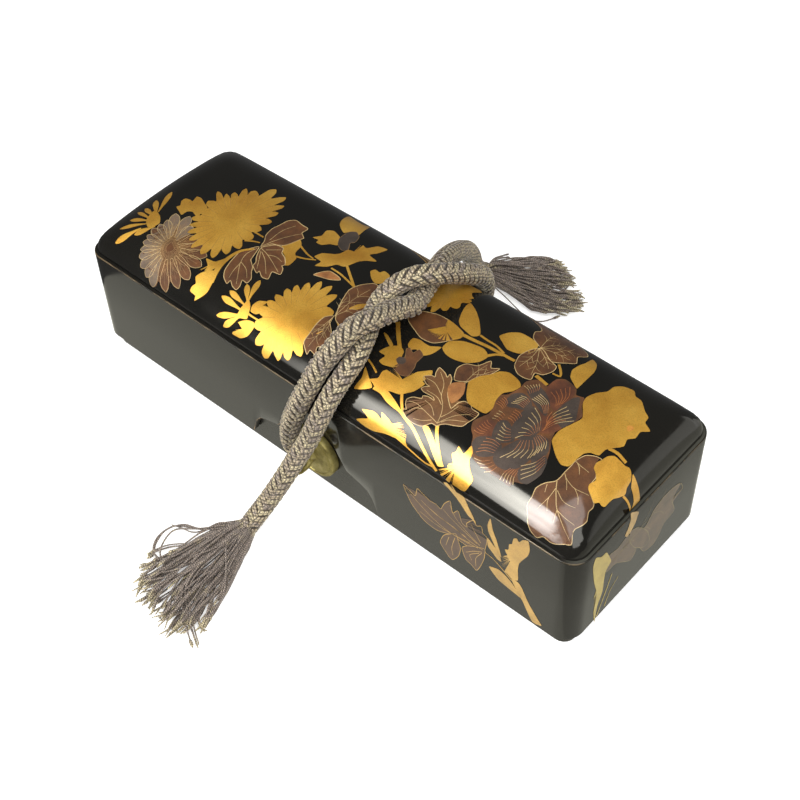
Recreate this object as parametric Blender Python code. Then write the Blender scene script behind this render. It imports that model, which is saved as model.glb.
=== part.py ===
# Lacquered letter box: a shallow tray under a crowned cover lid, a brass disc with a ring on each
# long wall of the tray, and two braided silk cords tied over the lid, each ending in a tassel.
# Metres. +X runs along the box, +Y to its back, +Z up. Origin: bottom centre of the box, on the table.
import math

import bmesh
import bpy
from mathutils import Matrix, Vector

# Overall sizes and clearances
length = 0.2500
width = 0.0831
ledge_height = 0.0526
gap = 0.0003
slide_gap = 0.00035

# Lid: skirt, ledge round the foot of the crown, and the crown itself
skirt_bottom = 0.0070
skirt_wall = 0.0026
corner_radius = 0.0079
least_radius = 0.0012
edge_round = 0.0005
ledge_width = 0.0015
shoulder_width = 0.0172
shoulder_height = 0.0109
crown_across = 0.00385
crown_along = 0.00247
hip_softness = 2.7
roof_wall = 0.0030
inner_shoulder_width = 0.0145

# Half of the cut-out in the skirt, from its top down to its foot: distance along the box, height
cutout_half = [
    (0.0000, 0.0409),
    (0.0032, 0.0402),
    (0.0064, 0.0387),
    (0.0098, 0.0360),
    (0.0124, 0.0319),
    (0.0140, 0.0281),
    (0.0160, 0.0247),
    (0.0182, 0.0211),
    (0.0213, 0.0203),
    (0.0250, 0.0192),
    (0.0285, 0.0177),
    (0.0308, 0.0149),
    (0.0322, 0.0115),
    (0.0334, 0.0077),
    (0.0340, 0.0037),
]

# Tray under the lid
tray_inset = skirt_wall + slide_gap
tray_wall = 0.0030
tray_floor = 0.0030
tray_foot_round = 0.0006
rim_height = ledge_height - roof_wall - gap
roof_inset = tray_inset + tray_wall

# Brass fittings on the tray's long walls
disc_radius = 0.0116
disc_height = 0.0184
disc_stand = 0.0005
disc_face = width / 2.0 + disc_stand
disc_back = width / 2.0 - tray_inset + gap
disc_round = 0.0006
boss_radius = 0.0023
boss_stand = 0.0009
ring_radius = 0.0053
ring_wire = 0.0011
ring_reach = 0.0047
ring_middle = disc_face + ring_reach

# Cords
cord_radius = 0.0043
cord_spacing = 0.0050

# Cord from the front ring to the back tassel: x, y, z and the cord's radius there
front_cord_route = [
    (0.0008, -0.0469, 0.0184, 0.0027),
    (-0.0034, -0.0470, 0.0199, 0.0028),
    (-0.0053, -0.0469, 0.0232, 0.0033),
    (-0.0060, -0.0467, 0.0276, 0.0040),
    (-0.0048, -0.0469, 0.0357, 0.0043),
    (-0.0016, -0.0468, 0.0448, 0.0043),
    (0.0019, -0.0459, 0.0543, 0.0043),
    (0.0049, -0.0430, 0.0634, 0.0043),
    (0.0073, -0.0390, 0.0714, 0.0043),
    (0.0097, -0.0344, 0.0774, 0.0043),
    (0.0114, -0.0299, 0.0816, 0.0043),
    (0.0127, -0.0258, 0.0838, 0.0043),
    (0.0140, -0.0218, 0.0842, 0.0043),
    (0.0150, -0.0174, 0.0835, 0.0043),
    (0.0155, -0.0119, 0.0820, 0.0043),
    (0.0157, -0.0055, 0.0796, 0.0043),
    (0.0158, 0.0018, 0.0759, 0.0043),
    (0.0130, 0.0109, 0.0749, 0.0043),
    (0.0096, 0.0209, 0.0738, 0.0043),
    (0.0056, 0.0310, 0.0709, 0.0043),
    (0.0013, 0.0409, 0.0651, 0.0043),
    (-0.0031, 0.0508, 0.0577, 0.0043),
    (-0.0075, 0.0601, 0.0492, 0.0043),
    (-0.0115, 0.0680, 0.0399, 0.0043),
    (-0.0151, 0.0744, 0.0307, 0.0043),
    (-0.0186, 0.0799, 0.0216, 0.0043),
    (-0.0228, 0.0867, 0.0115, 0.0043),
    (-0.0236, 0.0915, 0.0061, 0.0043),
    (-0.0182, 0.0951, 0.0046, 0.0042),
]

# Cord from the back ring to the front tassel
back_cord_route = [
    (-0.0008, 0.0469, 0.0184, 0.0027),
    (0.0034, 0.0470, 0.0199, 0.0028),
    (0.0053, 0.0472, 0.0232, 0.0033),
    (0.0070, 0.0477, 0.0276, 0.0040),
    (0.0103, 0.0482, 0.0380, 0.0043),
    (0.0137, 0.0471, 0.0502, 0.0043),
    (0.0164, 0.0420, 0.0615, 0.0043),
    (0.0180, 0.0339, 0.0695, 0.0043),
    (0.0183, 0.0267, 0.0754, 0.0043),
    (0.0178, 0.0207, 0.0795, 0.0043),
    (0.0167, 0.0156, 0.0822, 0.0043),
    (0.0148, 0.0112, 0.0838, 0.0043),
    (0.0125, 0.0074, 0.0843, 0.0043),
    (0.0101, 0.0038, 0.0832, 0.0043),
    (0.0079, 0.0007, 0.0811, 0.0043),
    (0.0066, -0.0028, 0.0793, 0.0043),
    (0.0065, -0.0065, 0.0778, 0.0043),
    (0.0075, -0.0104, 0.0766, 0.0043),
    (0.0094, -0.0144, 0.0757, 0.0043),
    (0.0116, -0.0188, 0.0749, 0.0043),
    (0.0136, -0.0238, 0.0738, 0.0043),
    (0.0152, -0.0294, 0.0718, 0.0043),
    (0.0153, -0.0351, 0.0686, 0.0043),
    (0.0146, -0.0404, 0.0640, 0.0043),
    (0.0132, -0.0446, 0.0573, 0.0043),
    (0.0112, -0.0477, 0.0493, 0.0043),
    (0.0086, -0.0504, 0.0404, 0.0043),
    (0.0055, -0.0540, 0.0316, 0.0043),
    (0.0028, -0.0588, 0.0227, 0.0043),
    (-0.0010, -0.0643, 0.0119, 0.0043),
    (-0.0022, -0.0719, 0.0063, 0.0043),
    (-0.0018, -0.0781, 0.0046, 0.0042),
]

# Tassels past the neck, on to the tips: x, y, z, half the width and half the height
front_tassel_sections = [
    (-0.0017, -0.0819, 0.0049, 0.0058, 0.0046),
    (-0.0022, -0.0875, 0.0049, 0.0092, 0.0047),
    (-0.0027, -0.0946, 0.0047, 0.0122, 0.0044),
    (-0.0025, -0.1037, 0.0043, 0.0150, 0.0040),
    (-0.0015, -0.1118, 0.0039, 0.0168, 0.0036),
    (0.0000, -0.1189, 0.0035, 0.0172, 0.0032),
    (0.0018, -0.1245, 0.0032, 0.0150, 0.0028),
    (0.0032, -0.1285, 0.0030, 0.0105, 0.0024),
]
back_tassel_sections = [
    (-0.0145, 0.0969, 0.0049, 0.0066, 0.0046),
    (-0.0091, 0.0991, 0.0049, 0.0102, 0.0047),
    (-0.0025, 0.1020, 0.0047, 0.0138, 0.0044),
    (0.0046, 0.1052, 0.0043, 0.0166, 0.0040),
    (0.0107, 0.1080, 0.0039, 0.0174, 0.0036),
    (0.0157, 0.1102, 0.0035, 0.0150, 0.0032),
    (0.0198, 0.1121, 0.0032, 0.0100, 0.0028),
]

# Points of each loop round the box: steps in a corner, along a long side, along a short side
corner_steps = 5
long_steps = 10
short_steps = 5
tassel_sides = 16


def clear_scene():
    for item in list(bpy.data.objects):
        bpy.data.objects.remove(item, do_unlink=True)


def make_material(name, colour, metallic, roughness):
    material = bpy.data.materials.new(name)
    material.use_nodes = True
    shader = material.node_tree.nodes["Principled BSDF"]
    shader.inputs["Base Color"].default_value = (*colour, 1.0)
    shader.inputs["Metallic"].default_value = metallic
    shader.inputs["Roughness"].default_value = roughness
    return material


def make_object(name, mesh_builder, material, smooth_angle):
    # Turns a finished bmesh into a named object that faces out
    bmesh.ops.remove_doubles(mesh_builder, verts=mesh_builder.verts, dist=1e-6)
    bmesh.ops.recalc_face_normals(mesh_builder, faces=mesh_builder.faces)
    mesh = bpy.data.meshes.new(name)
    mesh_builder.to_mesh(mesh)
    mesh_builder.free()
    item = bpy.data.objects.new(name, mesh)
    item.data.materials.append(material)
    bpy.context.scene.collection.objects.link(item)
    mesh.shade_smooth()
    mesh.set_sharp_from_angle(angle=math.radians(smooth_angle))
    return item


def rounded_loop(half_x, half_y, radius):
    # Points round a rectangle with rounded corners, always the same number in the same order
    radius = min(radius, 0.9 * half_y)
    corners = [(1, -1, -90), (1, 1, 0), (-1, 1, 90), (-1, -1, 180)]
    points = []
    for side_x, side_y, start in corners:
        middle_x = side_x * (half_x - radius)
        middle_y = side_y * (half_y - radius)
        for step in range(corner_steps + 1):
            angle = math.radians(start + 90.0 * step / corner_steps)
            points.append((middle_x + radius * math.cos(angle), middle_y + radius * math.sin(angle)))
        straight = short_steps if side_x * side_y < 0 else long_steps
        reach = half_y - radius if side_x * side_y < 0 else half_x - radius
        last_x, last_y = points[-1]
        for step in range(1, straight):
            shift = 2.0 * reach * step / straight
            if side_x * side_y < 0:
                points.append((last_x, last_y + side_x * shift))
            else:
                points.append((last_x - side_y * shift, last_y))
    return points


def quarter_round(distance, reach):
    share = min(max(distance / reach, 0.0), 1.0)
    return math.sqrt(max(1.0 - (1.0 - share) ** 2, 0.0))


def soft_least(first, second, sharpness):
    if first <= 0.0 or second <= 0.0:
        return 0.0
    return (first ** -sharpness + second ** -sharpness - 1.0) ** (-1.0 / sharpness)


def crown_height(x, y, half_x, half_y, foot_radius, shoulder):
    # Height of the crowned top over its foot, which is a rounded rectangle of the given half sizes
    from_end = half_x - abs(x)
    from_side = half_y - abs(y)
    share = soft_least(quarter_round(from_end, shoulder), quarter_round(from_side, shoulder), hip_softness)
    if from_end < foot_radius and from_side < foot_radius:
        reach = math.hypot(foot_radius - from_end, foot_radius - from_side)
        share = soft_least(share, quarter_round(foot_radius - reach, shoulder), 8.0)
    crown = crown_across * (1.0 - (y / half_y) ** 2) + crown_along * (1.0 - (x / half_x) ** 2)
    return (shoulder_height + crown) * share


def skin_rings(rings):
    # Closed body through a list of loops with equal point counts, capped at both ends
    builder = bmesh.new()
    first = bmesh.ops.create_circle(builder, segments=len(rings[0]), radius=1.0)["verts"]
    for vert, point in zip(first, rings[0]):
        vert.co = point
    edges = list(builder.edges)
    bmesh.ops.contextual_create(builder, geom=edges)
    for ring in rings[1:]:
        result = bmesh.ops.extrude_edge_only(builder, edges=edges)["geom"]
        edges = [part for part in result if isinstance(part, bmesh.types.BMEdge)]
        verts = [part for part in result if isinstance(part, bmesh.types.BMVert)]
        for vert, point in zip(verts, ring):
            vert.co = point
    bmesh.ops.contextual_create(builder, geom=edges)
    bmesh.ops.triangulate(builder, faces=[face for face in builder.faces if len(face.verts) > 4])
    return builder


def level_ring(inset, height):
    # Loop at one height, set in from the lid's outer face
    radius = max(corner_radius - inset, least_radius)
    return [
        (x, y, height)
        for x, y in rounded_loop(length / 2.0 - inset, width / 2.0 - inset, radius)
    ]


def crown_rings(foot_inset, foot_height, shoulder, insets):
    # Loops that climb from the foot of a crowned surface to its middle
    half_x = length / 2.0 - foot_inset
    half_y = width / 2.0 - foot_inset
    foot_radius = max(corner_radius - foot_inset, least_radius)
    rings = []
    for inset in insets:
        radius = max(foot_radius - 0.4 * inset, least_radius)
        loop = rounded_loop(half_x - inset, half_y - inset, radius)
        rings.append([
            (x, y, foot_height + crown_height(x, y, half_x, half_y, foot_radius, shoulder))
            for x, y in loop
        ])
    return rings


def make_lid(material):
    outer_steps = [
        0.0, 0.0002, 0.0007, 0.0016, 0.0030, 0.0050, 0.0078, 0.0112, 0.0152, 0.0210, 0.0290, 0.0360,
    ]
    inner_steps = [0.0, 0.0004, 0.0016, 0.0040, 0.0080, 0.0135, 0.0210, 0.0310]
    outside = crown_rings(ledge_width, ledge_height, shoulder_width, outer_steps)
    inside = crown_rings(roof_inset, ledge_height - roof_wall, inner_shoulder_width, inner_steps)
    rings = list(reversed(outside))
    rings.append(level_ring(edge_round, ledge_height))
    rings.append(level_ring(0.3 * edge_round, ledge_height - 0.3 * edge_round))
    rings.append(level_ring(0.0, ledge_height - edge_round))
    rings.append(level_ring(0.0, skirt_bottom))
    rings.append(level_ring(skirt_wall, skirt_bottom))
    rings.append(level_ring(skirt_wall, ledge_height - roof_wall))
    rings.extend(inside)
    lid = make_object("lid", skin_rings(rings), material, 40)
    cut = lid.modifiers.new("side cut-outs", "BOOLEAN")
    cut.operation = "DIFFERENCE"
    cut.solver = "EXACT"
    cut.object = make_cutout_cutter()
    return lid


def make_cutout_cutter():
    # Prism through both long sides, with the outline of the cut-out
    outline = [(-x, z) for x, z in reversed(cutout_half[1:])] + cutout_half
    builder = bmesh.new()
    verts = bmesh.ops.create_circle(builder, segments=len(outline), radius=1.0)["verts"]
    for vert, (x, z) in zip(verts, outline):
        vert.co = (x, -0.6 * width, z)
    face = bmesh.ops.contextual_create(builder, geom=list(builder.edges))["faces"]
    swept = bmesh.ops.extrude_face_region(builder, geom=face)["geom"]
    moved = [part for part in swept if isinstance(part, bmesh.types.BMVert)]
    bmesh.ops.translate(builder, verts=moved, vec=(0.0, 1.2 * width, 0.0))
    bmesh.ops.recalc_face_normals(builder, faces=builder.faces)
    mesh = bpy.data.meshes.new("cutout_cutter")
    builder.to_mesh(mesh)
    builder.free()
    return add_helper("cutout_cutter", mesh)


def add_helper(name, mesh):
    item = bpy.data.objects.new(name, mesh)
    item.hide_render = True
    item.display_type = "WIRE"
    bpy.context.scene.collection.objects.link(item)
    return item


def make_tray(material):
    inner = tray_inset + tray_wall
    rings = [
        level_ring(tray_inset + tray_foot_round, 0.0),
        level_ring(tray_inset, tray_foot_round),
        level_ring(tray_inset, rim_height),
        level_ring(inner, rim_height),
        level_ring(inner, tray_floor),
    ]
    return make_object("tray", skin_rings(rings), material, 40)


def make_fitting(name, side, material):
    # Disc with a boss, turned about the y axis, joined to a ring that stands out of the boss
    profile = [
        (0.0, disc_back),
        (disc_radius, disc_back),
        (disc_radius, disc_face - disc_round),
        (disc_radius - disc_round, disc_face),
        (boss_radius, disc_face),
        (boss_radius - 0.0003, disc_face + boss_stand),
        (0.0, disc_face + boss_stand),
    ]
    builder = bmesh.new()
    verts = [bmesh.ops.create_vert(builder, co=(r, side * y, disc_height))["vert"][0] for r, y in profile]
    edges = [
        bmesh.ops.contextual_create(builder, geom=[first, second])["edges"][0]
        for first, second in zip(verts, verts[1:])
    ]
    bmesh.ops.spin(
        builder, geom=verts + edges, cent=(0.0, 0.0, disc_height), axis=(0.0, 1.0, 0.0),
        angle=2.0 * math.pi, steps=32, use_merge=True,
    )
    fitting = make_object(name, builder, material, 40)
    join = fitting.modifiers.new("ring", "BOOLEAN")
    join.operation = "UNION"
    join.solver = "EXACT"
    join.object = make_ring(name + "_ring", side)
    return fitting


def make_ring(name, side):
    # Wire's round section, turned about the x axis
    builder = bmesh.new()
    middle = Vector((0.0, side * ring_middle, disc_height))
    top = Matrix.Translation(middle + Vector((0.0, 0.0, ring_radius)))
    turn = Matrix.Rotation(math.pi / 2.0, 4, "X")
    circle = bmesh.ops.create_circle(builder, segments=8, radius=ring_wire, matrix=top @ turn)["verts"]
    bmesh.ops.spin(
        builder, geom=circle + list(builder.edges), cent=middle, axis=(1.0, 0.0, 0.0),
        angle=2.0 * math.pi, steps=24, use_merge=True,
    )
    bmesh.ops.remove_doubles(builder, verts=builder.verts, dist=1e-6)
    bmesh.ops.recalc_face_normals(builder, faces=builder.faces)
    mesh = bpy.data.meshes.new(name)
    builder.to_mesh(mesh)
    builder.free()
    return add_helper(name, mesh)


def smooth_route(route, spacing):
    # Even points along a smooth curve through the route's points
    points = [Vector(point) for point in route]
    points = [2.0 * points[0] - points[1]] + points + [2.0 * points[-1] - points[-2]]
    fine = []
    for index in range(1, len(points) - 2):
        before, start, end, after = points[index - 1:index + 3]
        for step in range(12):
            t = step / 12.0
            fine.append(0.5 * (
                2.0 * start + (end - before) * t
                + (2.0 * before - 5.0 * start + 4.0 * end - after) * t * t
                + (3.0 * start - before - 3.0 * end + after) * t * t * t
            ))
    fine.append(points[-2])
    travelled = [0.0]
    for first, second in zip(fine, fine[1:]):
        travelled.append(travelled[-1] + (second - first).xyz.length)
    count = max(2, round(travelled[-1] / spacing))
    even = []
    index = 0
    for step in range(count + 1):
        target = travelled[-1] * step / count
        while index < len(fine) - 2 and travelled[index + 1] < target:
            index += 1
        stretch = travelled[index + 1] - travelled[index]
        share = (target - travelled[index]) / stretch
        even.append(fine[index].lerp(fine[index + 1], min(max(share, 0.0), 1.0)))
    return even


def make_cord(name, route, material):
    points = smooth_route(route, cord_spacing)
    curve = bpy.data.curves.new(name, "CURVE")
    curve.dimensions = "3D"
    curve.bevel_depth = cord_radius
    curve.bevel_resolution = 3
    curve.use_fill_caps = True
    spline = curve.splines.new("POLY")
    spline.points.add(len(points) - 1)
    for place, point in zip(spline.points, points):
        place.co = (point[0], point[1], point[2], 1.0)
        place.radius = point[3] / cord_radius
    spline.use_smooth = True
    curve.materials.append(material)
    item = bpy.data.objects.new(name, curve)
    bpy.context.scene.collection.objects.link(item)
    return item


def oval_ring(middle, along, half_width, half_height):
    # Oval loop across the given direction, with its wide side level
    across = Vector((-along.y, along.x, 0.0)).normalized()
    upright = along.cross(across).normalized()
    points = []
    for step in range(tassel_sides):
        angle = 2.0 * math.pi * step / tassel_sides
        offset = across * (half_width * math.cos(angle)) + upright * (half_height * math.sin(angle))
        points.append(middle + offset)
    return points


def make_tassel(name, sections, cord_route, material):
    # Flattened brush whose neck faces the cord's end across the gap
    last, end = smooth_route(cord_route, cord_spacing)[-2:]
    outward = (end.xyz - last.xyz).normalized()
    neck = end.xyz + gap * outward
    rings = [oval_ring(neck, outward, end.w, end.w)]
    middles = [Vector(section[:3]) for section in sections]
    for index, section in enumerate(sections):
        before = middles[index - 1] if index else neck
        after = middles[min(index + 1, len(middles) - 1)]
        along = Vector((after.x - before.x, after.y - before.y, 0.0))
        rings.append(oval_ring(middles[index], along, section[3], section[4]))
    return make_object(name, skin_rings(rings), material, 60)


clear_scene()
lacquer = make_material("black_lacquer", (0.012, 0.011, 0.010), 0.0, 0.12)
tray_lacquer = make_material("tray_lacquer", (0.016, 0.014, 0.013), 0.0, 0.22)
brass = make_material("aged_brass", (0.34, 0.29, 0.12), 1.0, 0.38)
silk = make_material("braided_silk", (0.36, 0.31, 0.25), 0.0, 0.80)
yarn = make_material("tassel_yarn", (0.26, 0.22, 0.23), 0.0, 0.85)
make_tray(tray_lacquer)
make_lid(lacquer)
make_fitting("front_fitting", -1.0, brass)
make_fitting("back_fitting", 1.0, brass)
make_cord("front_cord", front_cord_route, silk)
make_cord("back_cord", back_cord_route, silk)
make_tassel("front_tassel", front_tassel_sections, back_cord_route, yarn)
make_tassel("back_tassel", back_tassel_sections, front_cord_route, yarn)
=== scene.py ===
import math
import random

import bmesh
import bpy
import numpy as np
from mathutils import Matrix, Vector


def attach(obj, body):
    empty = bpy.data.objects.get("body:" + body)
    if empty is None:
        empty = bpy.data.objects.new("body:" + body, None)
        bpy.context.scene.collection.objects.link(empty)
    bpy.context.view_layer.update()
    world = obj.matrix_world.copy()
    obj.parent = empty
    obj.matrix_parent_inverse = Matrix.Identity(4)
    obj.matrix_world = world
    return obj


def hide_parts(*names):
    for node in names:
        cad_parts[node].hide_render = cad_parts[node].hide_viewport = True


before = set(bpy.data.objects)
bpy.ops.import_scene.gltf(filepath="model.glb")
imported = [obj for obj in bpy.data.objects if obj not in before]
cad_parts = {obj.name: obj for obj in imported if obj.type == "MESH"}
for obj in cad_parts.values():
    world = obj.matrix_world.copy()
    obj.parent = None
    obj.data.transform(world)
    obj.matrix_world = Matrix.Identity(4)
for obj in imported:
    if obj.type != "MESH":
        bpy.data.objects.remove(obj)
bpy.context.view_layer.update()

scene = bpy.context.scene
scene.view_settings.view_transform = "Standard"
print("frame loaded:", ", ".join(sorted(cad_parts)))

# camera, as the box was photographed
shot = {
    "place": (0.26868570, -0.28033115, 0.44466094),
    "right": (0.75167533, 0.65907860, -0.02448658),
    "down": (0.47792310, -0.56990259, -0.66843141),
    "forward": (-0.45450380, 0.49074070, -0.74337060),
    "lens": 64.294,
    "sensor": 36.0,
    "near": 0.01,
    "far": 20.0,
}
millimetres = 1000.0  # in a metre


def setCamera():
    data = bpy.data.cameras.new("photoCamera")
    data.lens = shot["lens"]
    data.sensor_width = shot["sensor"]
    data.clip_start = shot["near"]
    data.clip_end = shot["far"]
    camera = bpy.data.objects.new("photoCamera", data)
    scene.collection.objects.link(camera)
    turn = Matrix((shot["right"], -Vector(shot["down"]), -Vector(shot["forward"]))).transposed().to_4x4()
    camera.matrix_world = Matrix.Translation(shot["place"]) @ turn
    scene.camera = camera


setCamera()


# small helpers for materials
def newMaterial(name):
    material = bpy.data.materials.new(name)
    material.use_nodes = True
    tree = material.node_tree
    return material, tree, tree.nodes["Principled BSDF"]


def node(tree, kind, **settings):
    made = tree.nodes.new(kind)
    for key, value in settings.items():
        if key in made.inputs:
            made.inputs[key].default_value = value
        else:
            setattr(made, key, value)
    return made


def link(tree, source, target):
    tree.links.new(source, target)


def objectPattern(tree, scale=(1.0, 1.0, 1.0)):
    coordinates = node(tree, "ShaderNodeTexCoord")
    mapping = node(tree, "ShaderNodeMapping", Scale=scale)
    link(tree, coordinates.outputs["Object"], mapping.inputs["Vector"])
    return mapping.outputs["Vector"]


def uvPattern(tree, uvName, scale=(1.0, 1.0, 1.0)):
    uvNode = node(tree, "ShaderNodeUVMap", uv_map=uvName)
    mapping = node(tree, "ShaderNodeMapping", Scale=scale)
    link(tree, uvNode.outputs["UV"], mapping.inputs["Vector"])
    return mapping.outputs["Vector"]


def noise(tree, vector, scale, detail=3.0, roughness=0.5):
    made = node(tree, "ShaderNodeTexNoise", Scale=scale, Detail=detail, Roughness=roughness)
    link(tree, vector, made.inputs["Vector"])
    return made.outputs["Fac"]


def ramp(tree, factor, stops):
    # stops: place on the ramp, and its colour or grey
    made = node(tree, "ShaderNodeValToRGB")
    while len(made.color_ramp.elements) < len(stops):
        made.color_ramp.elements.new(0.5)
    for element, (place, colour) in zip(made.color_ramp.elements, stops):
        element.position = place
        element.color = (*colour, 1.0) if isinstance(colour, tuple) else (colour, colour, colour, 1.0)
    link(tree, factor, made.inputs["Fac"])
    return made.outputs["Color"]


def mixColours(tree, factor, first, second, blend="MIX"):
    made = node(tree, "ShaderNodeMix", data_type="RGBA", blend_type=blend)
    for socket, value in ((made.inputs[0], factor), (made.inputs[6], first), (made.inputs[7], second)):
        if isinstance(value, bpy.types.NodeSocket):
            link(tree, value, socket)
        elif isinstance(value, tuple):
            socket.default_value = (*value, 1.0)
        else:
            socket.default_value = value
    return made.outputs[2]


def bump(tree, shader, height, strength, distance):
    made = node(tree, "ShaderNodeBump", Strength=strength, Distance=distance)
    link(tree, height, made.inputs["Height"])
    link(tree, made.outputs["Normal"], shader.inputs["Normal"])


# the finishes
lacquerFinish = {
    "black": (0.0048, 0.0046, 0.0039),
    "warmBlack": (0.0078, 0.0071, 0.0056),
    "polish": (0.07, 0.17),  # least and most roughness
    "warmGleam": (1.0, 0.98, 0.90),
    "wornWood": (0.105, 0.072, 0.034),
    "paleWood": (0.24, 0.16, 0.090),
    # greys painted on the ledge's +x end as a painted sheen
    "paintedSheenGrey": (0.030, 0.030, 0.024),
    "paintedPaleSheen": (0.055, 0.054, 0.043),
    "index": 1.43,
    "cloud": 18.0, "rub": 55.0, "ripple": 70.0, "chips": 90.0,  # how fine each pattern is
    "scratch": (30.0, 900.0, 200.0),  # scratches run along the box
    "sheenZoom": 4.0, "sheenReach": 0.022,  # the painted sheen grows in over this much of its zoomed pattern
}


def makeLacquer(name, polish, worn=None, sheenFrom=None):
    # worn names the bare wood that shows in chips; beyond the given distance from the middle towards the +x
    # end a paler grey is painted in, a painted sheen
    material, tree, shader = newMaterial(name)
    place = objectPattern(tree)
    cloud = noise(tree, place, lacquerFinish["cloud"], 4.0)
    tone = ramp(tree, cloud, [(0.35, lacquerFinish["black"]), (0.75, lacquerFinish["warmBlack"])])
    # painted sheen: paler grey lacquer towards the +x end
    if sheenFrom:
        zoom = lacquerFinish["sheenZoom"]
        parts = node(tree, "ShaderNodeSeparateXYZ")
        link(tree, objectPattern(tree, (zoom, zoom, zoom)), parts.inputs[0])
        ledgeSheen = ramp(tree, cloud, [(0.35, lacquerFinish["paintedSheenGrey"]), (0.75, lacquerFinish["paintedPaleSheen"])])
        share = ramp(tree, parts.outputs["X"], [(zoom * sheenFrom, 0.0),
                                                (zoom * sheenFrom + lacquerFinish["sheenReach"], 1.0)])
        tone = mixColours(tree, share, tone, ledgeSheen)
    scratch = noise(tree, objectPattern(tree, lacquerFinish["scratch"]), 1.0, 2.0)
    rub = noise(tree, place, lacquerFinish["rub"], 5.0, 0.6)
    mixed = mixColours(tree, 0.35, rub, scratch)
    link(tree, ramp(tree, mixed, [(0.35, polish[0]), (0.70, polish[1])]), shader.inputs["Roughness"])
    if worn:
        chips = noise(tree, place, lacquerFinish["chips"], 5.0, 0.7)
        where = ramp(tree, chips, [(0.44, 0.0), (0.62, 1.0)])
        tone = mixColours(tree, where, tone, lacquerFinish[worn])
    link(tree, tone, shader.inputs["Base Color"])
    shader.inputs["IOR"].default_value = lacquerFinish["index"]
    shader.inputs["Specular Tint"].default_value = (*lacquerFinish["warmGleam"], 1.0)
    bump(tree, shader, noise(tree, place, lacquerFinish["ripple"], 2.0), 0.03, 0.0006)
    return material


clearLacquer = {"Coat Weight": 0.9, "Coat Roughness": 0.12, "Coat IOR": 1.43}


def clearCoat(shader):
    for socket, value in clearLacquer.items():
        shader.inputs[socket].default_value = value


goldFinish = {
    "gold": (0.68, 0.368, 0.048),
    "deepGold": (0.56, 0.268, 0.028),
    "paleGold": (0.76, 0.46, 0.078),
    "grain": 2600.0,
}


def makeGold():
    material, tree, shader = newMaterial("sprinkledGold")
    place = objectPattern(tree)
    broad = noise(tree, place, 60.0, 4.0, 0.6)
    tone = ramp(tree, broad, [(0.30, goldFinish["deepGold"]), (0.52, goldFinish["gold"]),
                              (0.80, goldFinish["paleGold"])])
    grain = noise(tree, place, goldFinish["grain"], 2.0)
    speck = ramp(tree, grain, [(0.30, 0.55), (0.55, 1.0)])
    link(tree, mixColours(tree, 0.55, tone, speck, "MULTIPLY"), shader.inputs["Base Color"])
    shader.inputs["Metallic"].default_value = 0.68
    link(tree, ramp(tree, broad, [(0.3, 0.36), (0.7, 0.50)]), shader.inputs["Roughness"])
    clearCoat(shader)
    bump(tree, shader, grain, 0.25, 0.00006)
    return material


brassFinish = {"olive": (0.27, 0.225, 0.070), "dull": (0.155, 0.122, 0.042), "bright": (0.40, 0.34, 0.14)}


def makeBrass():
    material, tree, shader = newMaterial("agedBrass")
    place = objectPattern(tree)
    stain = noise(tree, place, 260.0, 5.0, 0.65)
    tone = ramp(tree, stain, [(0.30, brassFinish["dull"]), (0.50, brassFinish["olive"]),
                              (0.78, brassFinish["bright"])])
    link(tree, tone, shader.inputs["Base Color"])
    shader.inputs["Metallic"].default_value = 0.8
    link(tree, ramp(tree, stain, [(0.3, 0.64), (0.7, 0.46)]), shader.inputs["Roughness"])
    bump(tree, shader, noise(tree, place, 900.0, 3.0), 0.18, 0.0002)
    return material


silkFinish = {
    "mauve": (0.27, 0.215, 0.175),
    "beige": (0.46, 0.37, 0.23),
    # this pale colour serves the yarns' pale ends and the painted glints
    "giltAndGlint": (0.78, 0.66, 0.41),
    "olive": (0.26, 0.215, 0.12),
    "shade": (0.045, 0.032, 0.020),
    "patches": 330.0, "specks": 1700.0, "glint": 2300.0,  # how fine each pattern is
}


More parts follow.
